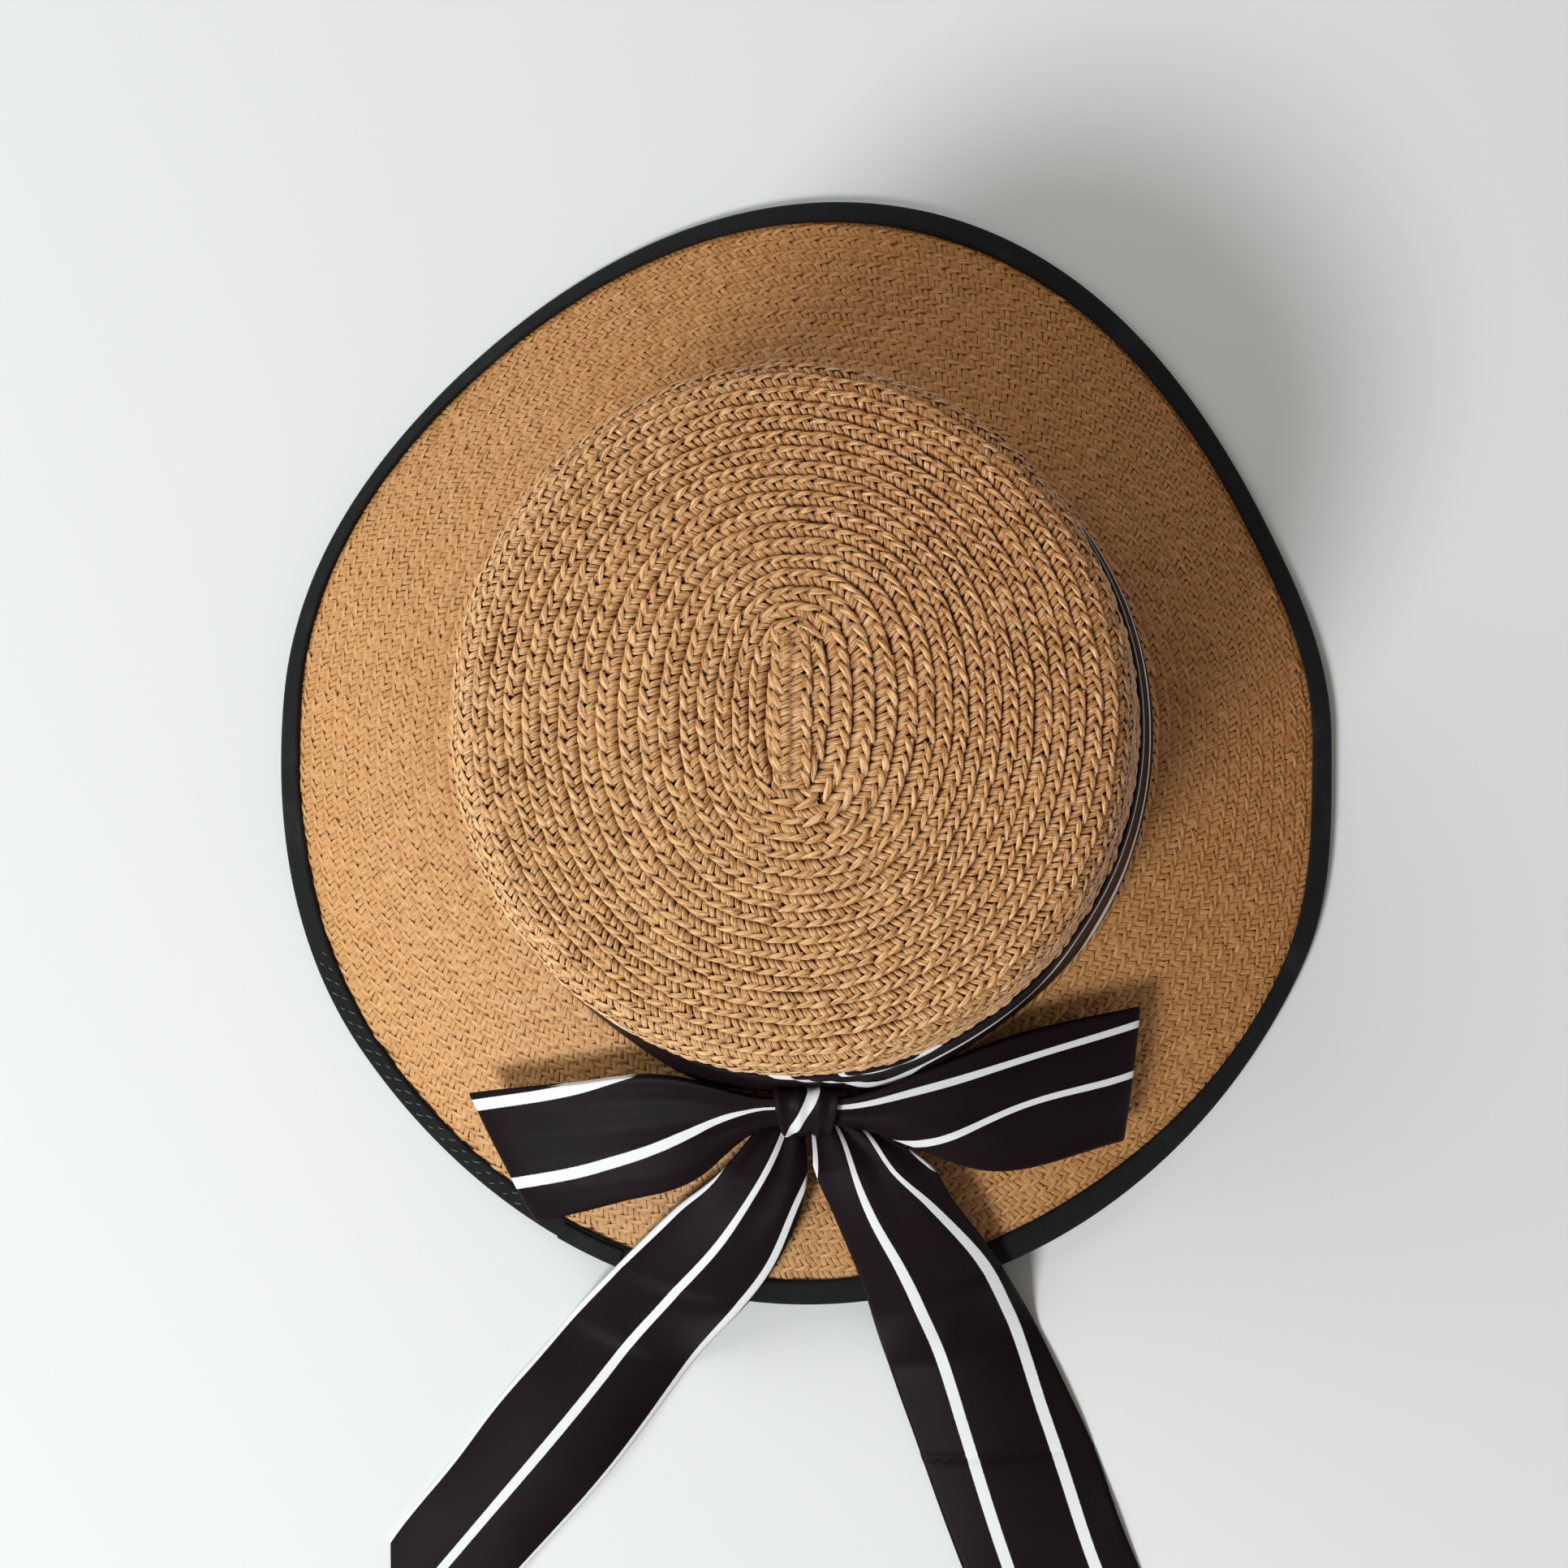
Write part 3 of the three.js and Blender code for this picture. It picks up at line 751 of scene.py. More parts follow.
def stitch_mesh(name, strips, leaf, detail):
    """One stitch of braid: strips across the row, and a leaf and a cord over their outer
    ends. X runs along the row, Y outwards and Z up from the hat."""
    verts, faces, uvs, strands, buried = [], [], [], [], []

    def blade(number, x, path, half, across, section):
        start, width = len(verts), len(section)
        y, z, deep = path["y"], path["z"], path["buried"]
        travel = np.append(0, np.cumsum(np.hypot(np.diff(x), np.diff(y))))
        for k in range(len(x)):
            for share, height in section:
                side = share * half[k]
                lift = z[k] + height * min(1.0, half[k] / THIN)
                verts.append((x[k] + across[0] * side, y[k] + across[1] * side, lift))
                uvs.append((travel[k] * MM, side * MM))
                strands.append(number)
                # Painted shade: points in the skirt take all of it, the rest take their table's amount.
                buried.append(1.0 if height < SKIRT else deep[k])
        for k in range(len(x) - 1):
            for edge in range(width - 1):
                corner = start + width * k + edge
                faces.append((corner, corner + width, corner + width + 1, corner + 1))

    stations, leaf_stations = (np.linspace(0, 1, count) for count in detail["stations"])
    for number, (shift, slant, half) in enumerate(strips):
        path = table_curve(STRIP, stations)
        x = shift + slant * (0.5 - stations)
        blade(number, x, path, path["half"] * half, (1.0, 0.0), detail["strip"])
    lift, widen, push = leaf
    path = table_curve(LEAF, leaf_stations)
    path["z"] = path["z"] + lift
    path["y"] = path["y"] + push
    blade(LEAF_STRAND, path["x"], path, path["half"] * widen, LEAF_ACROSS, detail["leaf"])
    ends = np.array([-1, 1]) * CORD_AT["half_x"]
    path = {key: np.full(2, CORD_AT[key]) for key in ("y", "z", "half", "buried")}
    blade(CORD_STRAND, ends, path, path["half"], (0.0, 1.0), CORD)
    verts = [tuple(c * MM for c in v) for v in verts]
    if not faces_up(verts, faces):
        faces = [f[::-1] for f in faces]
    obj = new_object(name, verts, faces, uvs)
    for key, values in (("strand", strands), ("buried", buried)):
        data = obj.data.attributes.new(key, "FLOAT", "POINT").data
        data.foreach_set("value", values)
    return obj


def faces_up(verts, faces):
    """Whether the first face looks up."""
    a, b, c = (np.array(verts[faces[0][k]]) for k in range(3))
    return np.cross(b - a, c - a)[2] > 0


def braid_tree():
    """Geometry nodes that lay a stitch at every point, each a little different."""
    tree = bpy.data.node_groups.new("Sewn Braid", "GeometryNodeTree")
    for name, kind, way in (
        ("Points", "NodeSocketGeometry", "INPUT"),
        ("Plain Stitch", "NodeSocketObject", "INPUT"),
        ("Open Stitch", "NodeSocketObject", "INPUT"),
        ("Tight Stitch", "NodeSocketObject", "INPUT"),
        ("Seed", "NodeSocketInt", "INPUT"),
        ("Size Spread", "NodeSocketFloat", "INPUT"),
        ("Tilt Spread", "NodeSocketFloat", "INPUT"),
        ("Straw", "NodeSocketMaterial", "INPUT"),
        ("Braid", "NodeSocketGeometry", "OUTPUT"),
    ):
        tree.interface.new_socket(name=name, in_out=way, socket_type=kind)

    def node(kind, settings=None, **sockets):
        made = tree.nodes.new(kind)
        for key, value in (settings or {}).items():
            setattr(made, key, value)
        for key, value in sockets.items():
            wanted = key.replace("_", " ")
            slot = next(s for s in made.inputs if s.name == wanted and s.enabled)
            if isinstance(value, bpy.types.NodeSocket):
                tree.links.new(value, slot)
            else:
                slot.default_value = value
        return made

    def out(made):
        return next(s for s in made.outputs if s.enabled)

    def scaled(vector, factor):
        return out(node("ShaderNodeVectorMath", {"operation": "SCALE"}, Vector=vector, Scale=factor))

    def stored(name):
        return out(node("GeometryNodeInputNamedAttribute", {"data_type": "FLOAT_VECTOR"}, Name=name))

    source = node("NodeGroupInput").outputs
    join = node("GeometryNodeJoinGeometry")
    for name in ("Tight Stitch", "Open Stitch", "Plain Stitch"):
        shape = node("GeometryNodeObjectInfo", Object=source[name], As_Instance=True)
        tree.links.new(shape.outputs["Geometry"], join.inputs[0])

    def chance(kind, low, high, salt):
        seed = node("ShaderNodeMath", {"operation": "ADD"})
        tree.links.new(source["Seed"], seed.inputs[0])
        seed.inputs[1].default_value = salt
        draw = node("FunctionNodeRandomValue", {"data_type": kind}, Min=low, Max=high, Seed=out(seed))
        return out(draw)

    wobble = scaled(chance("FLOAT_VECTOR", (-1, -1, -1), (1, 1, 1), 11), source["Tilt Spread"])
    swell = scaled(chance("FLOAT_VECTOR", (-0.4, -0.6, -1.5), (0.4, 0.6, 1.5), 23), source["Size Spread"])
    scale = node("ShaderNodeVectorMath", {"operation": "ADD"})
    tree.links.new(stored("size"), scale.inputs[0])
    tree.links.new(swell, scale.inputs[1])
    base = node("FunctionNodeEulerToRotation", Euler=stored("turn"))
    extra = node("FunctionNodeEulerToRotation", Euler=wobble)
    spun = node(
        "FunctionNodeRotateRotation", {"rotation_space": "LOCAL"}, Rotation=out(base), Rotate_By=out(extra)
    )
    laid = node(
        "GeometryNodeInstanceOnPoints", Points=source["Points"], Instance=out(join), Pick_Instance=True,
        Instance_Index=chance("INT", 0, 2, 37), Rotation=out(spun), Scale=out(scale),
    )
    tinted = node(
        "GeometryNodeStoreNamedAttribute", {"data_type": "FLOAT", "domain": "INSTANCE"},
        Geometry=out(laid), Name="tint", Value=chance("FLOAT", 0.0, 1.0, 53),
    )
    real = node("GeometryNodeRealizeInstances", Geometry=out(tinted))
    dressed = node("GeometryNodeSetMaterial", Geometry=out(real), Material=source["Straw"])
    sink = node("NodeGroupOutput")
    tree.links.new(out(dressed), sink.inputs[0])
    return tree


def lay_points(name, points, along, outward, normal, size):
    """A cloud of points that carries each stitch's turn and size."""
    mesh = bpy.data.meshes.new(name)
    mesh.from_pydata([tuple(p) for p in points], [], [])
    turns = [Matrix((a, o, n)).transposed().to_euler() for a, o, n in zip(along, outward, normal)]
    for key, values in (("turn", np.array(turns)), ("size", size)):
        data = mesh.attributes.new(key, "FLOAT_VECTOR", "POINT").data
        data.foreach_set("vector", np.asarray(values, np.float32).ravel())
    obj = bpy.data.objects.new(name, mesh)
    bpy.context.scene.collection.objects.link(obj)
    return obj


SPIRAL_STEPS = 720  # for each turn, when a spiral is measured
RIM = 0.8  # where the chain of leaves runs, as a share of the row
MOST_STRETCH = 1.9  # of a stitch, where the rim is much longer than the row's inner side


def spiral(surface, first, last, up=1, relief=1.0):
    """Where the stitches of a spiral braid lie on surface(angle, row), and how they turn.
    up is -1 where the braid looks down, and relief scales the stitches' height."""
    fine = np.linspace(first, last, int((last - first) * SPIRAL_STEPS))
    line = surface(fine * TURN, fine)
    travel = np.append(0, np.cumsum(np.linalg.norm(np.diff(line, axis=0), axis=1)))
    count = int(travel[-1] / (STITCH * MM))
    turns = np.interp(np.arange(count) * STITCH * MM, travel, fine)
    angle = turns * TURN
    here = surface(angle, turns)
    ahead = surface(angle + SMALL, turns) - surface(angle - SMALL, turns)
    across = surface(angle, turns + 1.0) - here
    normal = unit(np.cross(across, ahead)) * up
    along = -unit(ahead) * up
    outward = np.cross(normal, along)
    pitch = np.sum(across * outward, axis=-1)
    rim = here + outward * pitch[:, None] * RIM
    spacing = np.linalg.norm(np.gradient(rim, axis=0), axis=-1) / (STITCH * MM)
    stretch = np.clip(spacing, 1.0, MOST_STRETCH)
    size = np.stack([stretch, pitch / (ROW * MM), np.full(count, relief)], -1)
    return here, along, outward, normal, size


def spread(name, laid, shapes, look, salt, settings):
    """Lays the three shapes over the points of laid, and gives the result as one mesh."""
    cloud = lay_points(name + "_points", *laid)
    tree = bpy.data.node_groups.get("Sewn Braid") or braid_tree()
    modifier = cloud.modifiers.new("Braid", "NODES")
    modifier.node_group = tree
    sockets = {
        item.name: item.identifier for item in tree.interface.items_tree if item.in_out == "INPUT"
    }
    for key, shape in zip(("Plain Stitch", "Open Stitch", "Tight Stitch"), shapes):
        modifier[sockets[key]] = shape
    modifier[sockets["Seed"]] = settings.seed + salt
    modifier[sockets["Size Spread"]] = settings.size_spread
    modifier[sockets["Tilt Spread"]] = settings.tilt_spread
    modifier[sockets["Straw"]] = look
    return realise(cloud, name)


def realise(obj, name):
    """The evaluated mesh of an object, as a plain mesh object in its place."""
    depsgraph = bpy.context.evaluated_depsgraph_get()
    mesh = bpy.data.meshes.new_from_object(obj.evaluated_get(depsgraph))
    if not mesh.polygons:
        raise RuntimeError(name + " came out empty")
    mesh.name = name
    made = bpy.data.objects.new(name, mesh)
    bpy.context.scene.collection.objects.link(made)
    old = obj.data
    bpy.data.objects.remove(obj)
    bpy.data.meshes.remove(old)
    return made


# ---------------------------------------------------------------------------
# Crown and brim
# ---------------------------------------------------------------------------

TOP_ROWS = 16
TOP_START = -0.72  # the top's spiral begins under the button, in turns
BUTTON_HALF = 4.6  # width of each of the button's two rows
BUTTON_APART = 0.2  # from the button's middle line to where each row begins
BUTTON_RISE = 0.75  # how far the button stands over the rows round it
BUTTON_TUCK = 0.7  # how far its end stitches go down again
BUTTON_RELIEF = 0.8
ROW_GROWTH = 0.08  # how much wider than the mean the rows by the button are
WALL_UNDERLAP = 3.0  # how far the wall's braid goes on under the band, mm
BRIM_ROWS = 14.6
NECK_ROWS = 1.5  # rows on the turn from brim to wall
NECK_START = -1.2
SHELL_SINK = 0.8  # how deep the ground, the painted shade between the strands, lies under the braid's face
STITCH_SINK = 0.12
TOP_RELIEF = 1.3  # share of a stitch's own height: it is bolder on the top
BRIM_RELIEF = 0.5  # and the brim is pressed flatter


def crown_row(angle, row):
    """The crown's face, row by row: over the top, round the shoulder and down the wall."""
    share = np.minimum(row, TOP_ROWS) / TOP_ROWS
    top = top_point(angle, share * (1 + ROW_GROWTH * (1 - share)), STITCH_SINK)
    side = side_point(angle, np.maximum(row - TOP_ROWS, 0) * ROW, STITCH_SINK)
    return np.where((np.asarray(row) > TOP_ROWS)[..., None], side, top)


def brim_row(angle, row, below):
    """The brim's face, row by row: negative rows climb the turn to the crown's wall."""
    row = np.asarray(row, float)
    out = NECK + (straw_reach(angle) - NECK) * np.maximum(row, 0) / BRIM_ROWS
    bend = (1 + np.minimum(row, 0) / NECK_ROWS) * math.pi / 2
    turned = neck_point(angle, np.clip(bend, 0, math.pi / 2), below)
    return np.where((row < 0)[..., None], turned, brim_point(angle, out, below))


def button_rows():
    """The oblong button: two straight rows of braid, which lie back to back."""
    count = int(2 * BUTTON["half_y"] / STITCH) + 2
    step = (np.arange(count) - (count - 1) / 2) * STITCH
    past = np.clip(np.abs(step) - BUTTON["half_y"] + STITCH, 0, STITCH) / STITCH
    z = ROOT_Z + WALL_HEIGHT + SHOULDER_ROUND + DOME + BUTTON_RISE - BUTTON_TUCK * past
    up = np.tile((0.0, 0.0, 1.0), (count, 1))
    size = np.tile((1.0, BUTTON_HALF / ROW, BUTTON_RELIEF), (count, 1))
    rows = []
    for outward in (-1, 1):
        here = stack(BUTTON["x"] + BUTTON_APART * outward, BUTTON["y"] + step, z)
        out = np.tile((float(outward), 0.0, 0.0), (count, 1))
        rows.append((here, np.cross(out, up), out, up, size))
    return joined(*rows)


def joined(*parts):
    """Several sets of laid stitches as one."""
    return tuple(np.concatenate(columns) for columns in zip(*parts))


def stitch_shapes(detail):
    """The three stitches that a braid is made of."""
    return [
        stitch_mesh("stitch_" + key, shape["strips"], shape["leaf"], detail)
        for key, shape in STITCH_SHAPES.items()
    ]


def discard(objects):
    """Removes shapes that were only there to be copied."""
    for obj in objects:
        mesh = obj.data
        bpy.data.objects.remove(obj)
        bpy.data.meshes.remove(mesh)


def dress(obj, *makers):
    """Gives the object these materials, in order."""
    for maker in makers:
        obj.data.materials.append(material(maker))
    return obj


def finish_piece(obj, slot, *nodes):
    """The piece rides with the hat and stands for its nodes, which are hidden. slot is not used."""
    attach(obj, "root")
    if nodes:
        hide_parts(*nodes)


def crown_shell():
    """The crown's body under the braid, with the braid's inner face on its inside."""
    angle = around(CUTS["crown"])
    top_z = WALL_HEIGHT + SHOULDER_ROUND

    def disc(share, below):
        x = LEAN + share * (SHOULDER_X - SHOULDER_ROUND) * np.cos(angle)
        y = share * (SHOULDER_Y - SHOULDER_ROUND) * np.sin(angle)
        return stack(x, y, ROOT_Z + top_z + DOME * (1 - share**2) - below)

    def skin(below, lowest):
        discs = [disc(share, below) for share in np.linspace(0.12, 0.92, 8)]
        sides = [side_point(angle, down, below) for down in np.linspace(0, lowest, 44)]
        return np.concatenate(discs + sides, axis=1)

    lowest = SHOULDER_ARC + WALL_HEIGHT - NECK - 0.3
    outer, inner = skin(SHELL_SINK, lowest), skin(STRAW, lowest)
    poles = [
        (LEAN * MM, 0, (ROOT_Z + top_z + DOME - below) * MM) for below in (SHELL_SINK, STRAW)
    ]
    return two_faced("crown_shell", outer, inner, (crisp_ground, lining_side_material), poles)


def two_faced(name, outer, inner, makers, poles=None):
    """A closed skin from an outer and an inner face, which have a material each."""
    points = np.concatenate([outer, inner[:, ::-1]], axis=1)
    obj = dress(loop_mesh(name, points, section_uv(points), poles), *makers)
    size, half = points.shape[1], outer.shape[1]
    for face in obj.data.polygons:
        face.material_index = int((np.array(face.vertices) % size >= half).all())
    return obj


def brim_shell():
    """The brim's body between its two faces of braid."""
    angle = around(CUTS["brim"])
    free = straw_reach(angle) - NECK

    def skin(below):
        bends = [neck_point(angle, bend, below) for bend in np.linspace(0, math.pi / 2, 6)[:-1]]
        out = [brim_point(angle, NECK + free * share, below) for share in np.linspace(0, 1, 22)]
        return np.concatenate(bends + out, axis=1)

    sink = SHELL_SINK * BRIM_RELIEF
    return two_faced("brim_shell", skin(sink), skin(STRAW - sink), (soft_ground, lining_side_material))


def sew(name, laid, detail, maker, salt, settings):
    """One face of braid as a finished piece."""
    shapes = stitch_shapes(detail)
    finish_piece(spread(name, laid, shapes, material(maker), salt, settings), "straw_braid")
    discard(shapes)


def build_crown(settings):
    """The crown: braid over its top and down its wall to under the band, and the shell."""
    top = joined(spiral(crown_row, TOP_START, TOP_ROWS + 0.01, relief=TOP_RELIEF), button_rows())
    wall_rows = (SHOULDER_ARC + WALL_HEIGHT - BAND_FOOT - BAND_HEIGHT + WALL_UNDERLAP) / ROW
    wall = spiral(crown_row, TOP_ROWS, TOP_ROWS + wall_rows)
    sew("crown_top_braid", top, FINE, crisp_straw, 0, settings)
    sew("crown_wall_braid", wall, COARSE, crisp_straw, 1, settings)
    finish_piece(crown_shell(), "straw_braid", "crown")


def build_brim(settings):
    """The brim: braid over and under a thin shell."""
    last = BRIM_ROWS - 1
    over = spiral(lambda a, r: brim_row(a, r, STITCH_SINK), NECK_START, last, 1, BRIM_RELIEF)
    under = spiral(lambda a, r: brim_row(a, r, STRAW - STITCH_SINK), 0, last, -1, BRIM_RELIEF)
    sew("brim_braid", over, COARSE, soft_straw, 2, settings)
    sew("brim_under_braid", under, COARSE, soft_straw, 3, settings)
    finish_piece(brim_shell(), "straw_braid", "brim")


# ---------------------------------------------------------------------------
# Binding
# ---------------------------------------------------------------------------

SEWN_SECTOR = (204.0, 240.0)  # degrees, where the tape's thread shows, its pale stitches also painting the glints where the light catches it
SEWN_ROWS = (-1.2, -3.2)  # the thread's two rows, out from the end of the straw
THREAD_STEP = 2.3  # from stitch to stitch
THREAD_RADIUS = 0.17
THREAD_BOW = 0.16
THREAD_SLANT = 0.7
THREAD_LENGTHS = {"long": 1.9, "short": 1.3, "loose": 1.6}
OUTER_RADIUS = 150.0  # of the hat over its tape, about
TAPE_JOIN = (243.5, 250.5)  # degrees
JOIN_INSET = 0.6  # from the tape's edges to the lapped end's
JOIN_RISE = 0.55
JOIN_SIZE = (19.0, 7.6)  # how long and how wide the lapped end is, about
JOIN_THICK = 0.7

# How wide the tape is sewn, by share of a turn from +X.
TAPE_WIDTHS = table(
    "at width",
    (0, 5.8),
    (0.083, 5.9),
    (0.208, 7.0),
    (0.292, 5.6),
    (0.417, 4.6),
    (0.47, 5.2),
    (0.54, 6.4),
    (0.625, 5.7),
    (0.75, 7.2),
    (0.833, 7.9),
    (0.917, 5.5),
    (0.958, 6.2),
    (1, 5.8),
)


def tape_width(angle):
    """How wide the tape is here, over the brim."""
    return table_curve(TAPE_WIDTHS, angle / TURN % 1.0)["width"]


def tape_point(angle, out, below):
    """A point about the brim's edge: out from the end of the straw, below its upper face."""
    point = brim_point(angle, straw_reach(angle) + out, below)
    point[..., 2] = np.maximum(point[..., 2], 0)
    return point


def tape_section(angle):
    """The folded tape in section: over the brim, round its edge, back beneath, and the
    inner face of the fold. The edge puckers a little between its stitches."""
    slack, outer = BINDING_SLACK, BINDING_SLACK + TAPE
    inner_edge = BINDING_NOSE - tape_width(angle)
    pucker = 0.10 * np.sin(angle * 61) + 0.07 * np.sin(angle * 97 + 1.3)
    upper = []
    for share in np.linspace(0, 1, 6):
        out = inner_edge + (slack - inner_edge) * share + pucker * (share == 0)
        upper.append(tape_point(angle, out, -outer + pucker * 0.5 * (share < 1)))
    nose = [
        tape_point(angle, outer - 0.35, -slack - 0.75),
        tape_point(angle, outer, -slack),
        tape_point(angle, outer, STRAW + slack),
    ]
    inward = [inner_edge * share - 0.2 * (1 - share) for share in np.linspace(0, 1, 5)]
    lower = [tape_point(angle, out, STRAW + outer) for out in inward]
    within = [inner_edge + (slack - inner_edge) * share for share in np.linspace(0, 1, 4)]
    back = [tape_point(angle, out, STRAW + slack) for out in within]
    front = [tape_point(angle, out, -slack) for out in within[::-1]]
    return np.concatenate(upper + nose + lower + back + front, axis=1)


def build_binding(settings):
    """The tape, its lapped end and its stitches."""
    points = tape_section(around(CUTS["tape"]))
    tape = dress(loop_mesh("edge_tape", points, section_uv(points)), tape_material)
    finish_piece(tape, "binding_tape", "edge_binding")
    build_tape_join()
    build_tape_thread(settings)


def build_tape_join():
    """The tape's end, lapped over its beginning."""
    low, high = (math.radians(a) for a in TAPE_JOIN)

    def flap(u, v):
        angle = low + (high - low) * u
        out = BINDING_NOSE - JOIN_INSET - (tape_width(angle) - 2 * JOIN_INSET) * v
        return tape_point(angle, out, -(BINDING_SLACK + TAPE + JOIN_RISE))

    def flap_uv(u, v):
        return np.stack([u * JOIN_SIZE[0], v * JOIN_SIZE[1]], -1) * MM

    join = dress(sheet_mesh("tape_join", flap, flap_uv, 24, 8, JOIN_THICK), tape_material)
    finish_piece(join, "binding_tape")


def build_tape_thread(settings):
    """Two rows of stitches, which show where the tape was sewn by hand."""
    low, high = (math.radians(a) for a in SEWN_SECTOR)
    angle = np.arange(low, high, THREAD_STEP / OUTER_RADIUS)
    side = np.where(np.arange(len(angle)) % 2, *SEWN_ROWS)
    here = tape_point(angle, side, -(BINDING_SLACK + TAPE + 0.1))
    ahead = unit(tape_point(angle + SMALL, side, 0) - tape_point(angle - SMALL, side, 0))
    out = unit(tape_point(angle, side + 1, 0) - tape_point(angle, side, 0))
    up = unit(np.cross(out, ahead))
    laid = (here, np.cross(out, up), out, up, np.ones((len(angle), 3)))
    shapes = [thread_mesh("thread_" + key, length) for key, length in THREAD_LENGTHS.items()]
    threads = spread("tape_thread", laid, shapes, material(thread_material), 7, settings)
    discard(shapes)
    finish_piece(threads, "binding_tape")


def thread_mesh(name, length):
    """One visible stitch of thread: a short bowed tube with closed ends."""
    rings, sides = 5, 5
    verts, faces = [], []
    for k in range(rings):
        share = k / (rings - 1)
        x = (share - 0.5) * length
        z = THREAD_BOW * math.sin(math.pi * share)
        r = THREAD_RADIUS * (0.45 + 0.55 * math.sin(math.pi * min(0.9, max(0.1, share))))
        for side in range(sides):
            turn = TURN * side / sides
            y = x * THREAD_SLANT + r * math.cos(turn)
            verts.append((x * MM, y * MM, (z + r * math.sin(turn)) * MM))
    for k in range(rings - 1):
        for side in range(sides):
            a, b = k * sides + side, k * sides + (side + 1) % sides
            faces.append((a, b, b + sides, a + sides))
    faces.append(tuple(range(sides))[::-1])
    faces.append(tuple(range((rings - 1) * sides, rings * sides)))
    if volume(verts, faces) < 0:
        faces = [f[::-1] for f in faces]
    return new_object(name, verts, faces)


# ---------------------------------------------------------------------------
# Ribbon
# ---------------------------------------------------------------------------

SOFT_RIBBON = 0.9  # thickness of the loops and the tails
PLAIN_MARGIN = 0.5  # in stripe periods
KNOT_ANGLE = 1.5 * math.pi  # the bow is at -Y
ASKEW_ANGLE = -0.58  # where the band's foot bulges out, on the right of the bow

# Where the band's two stripes run over its foot, by share of a turn from +X: the ribbon
# sits askew on the right, and slants down to the knot.
BAND_STRIPES = table(
    "at low high",
    (0, 13, 37),
    (0.03, 11.5, 36),
    (0.06, 8.5, 34),
    (0.1, 8.5, 33),
    (0.16, 11, 35),
    (0.55, 11.5, 35),
    (0.64, -6, 40),
    (0.745, -6, 40),
    (0.77, -8, 17),
    (0.82, -6, 19),
    (0.87, -1, 25),
    (0.91, 8.5, 35),
    (0.94, 8.5, 35),
    (0.97, 10, 36),
    (1, 13, 37),
)


def angle_from(angle, start):
    """The angle from start, between half a turn either way."""
    return (angle - start + math.pi) % TURN - math.pi


def apart(place, middle, width):
    """How far a place is from a middle, in widths and squared."""
    return ((place - middle) / width) ** 2


def band_wrinkle(angle, height):
    """How far the band stands out from the crown: slack folds, folds drawn in towards the
    knot, a bulge on the right, and a slack foot on both sides of the knot."""
    aside = np.abs(angle_from(angle, KNOT_ANGLE))
    right = angle_from(angle, ASKEW_ANGLE)
    slack = 0.25 * np.sin(3 * angle + height * 0.05) * np.sin(height * 0.16)
    drawn = 0.7 * np.exp(-apart(aside, 0, 0.55)) * np.abs(np.sin(height * 0.33 + 1.6 * aside))
    bulge = 1.5 * np.exp(-apart(right, 0, 0.2) - apart(height, 7, 6))
    foot = 4.5 * np.exp(-apart(aside, 0.26, 0.22) - apart(height, 9, 9))
    return 0.2 + slack + drawn + bulge + foot


def build_band(settings):
    """The band: a ring of ribbon round the crown's foot, with its folds on the outside."""
    angle = around(CUTS["band"])
    heights = np.linspace(BAND_FOOT + BAND_HEIGHT, BAND_FOOT, 30)[None, :]

    def skin(thickness):
        level = (heights - BAND_FOOT) / BAND_HEIGHT
        spread_out = BAND_SPREAD * (1 - level) ** 3
        rounded = 0.25 * np.clip(1 - np.minimum(level, 1 - level) / 0.02, 0, 1)
        ripple = band_wrinkle(angle, heights) * settings.wrinkle * np.sin(math.pi * level) ** 0.5
        offset = 0.3 + spread_out + (thickness - rounded + ripple) * (thickness > 0)
        return crown_point(angle, heights, -offset)

    points = np.concatenate([skin(RIBBON), skin(0.0)[:, ::-1]], axis=1)
    both = np.concatenate([heights, heights[:, ::-1]], axis=1)
    stripes = table_curve(BAND_STRIPES, angle / TURN)
    gap = stripes["high"] - stripes["low"]
    v = (both - BAND_FOOT - stripes["low"]) / gap * STRIPE_PERIOD * MM
    u = np.broadcast_to(angle * 0.09, v.shape)
    band = dress(loop_mesh("ribbon_band", points, np.stack([u, v], -1)), ribbon_material)
    finish_piece(band, "satin_ribbon", "hat_band")


def stripe_chart(rows, share_of, length, plain_edges):
    """The ribbon's own coordinates: U along it and V across it, counted from a stripe.
    With plain edges, no third stripe comes up beyond the two that the table places."""

    def chart(u, v):
        found = table_curve(rows, share_of(u))
        place = (v - found["first"]) / (found["second"] - found["first"])
        if plain_edges:
            place = np.clip(place, -PLAIN_MARGIN, 1 + PLAIN_MARGIN)
        return np.stack([u * length * MM, place * STRIPE_PERIOD * MM], -1)

    return chart


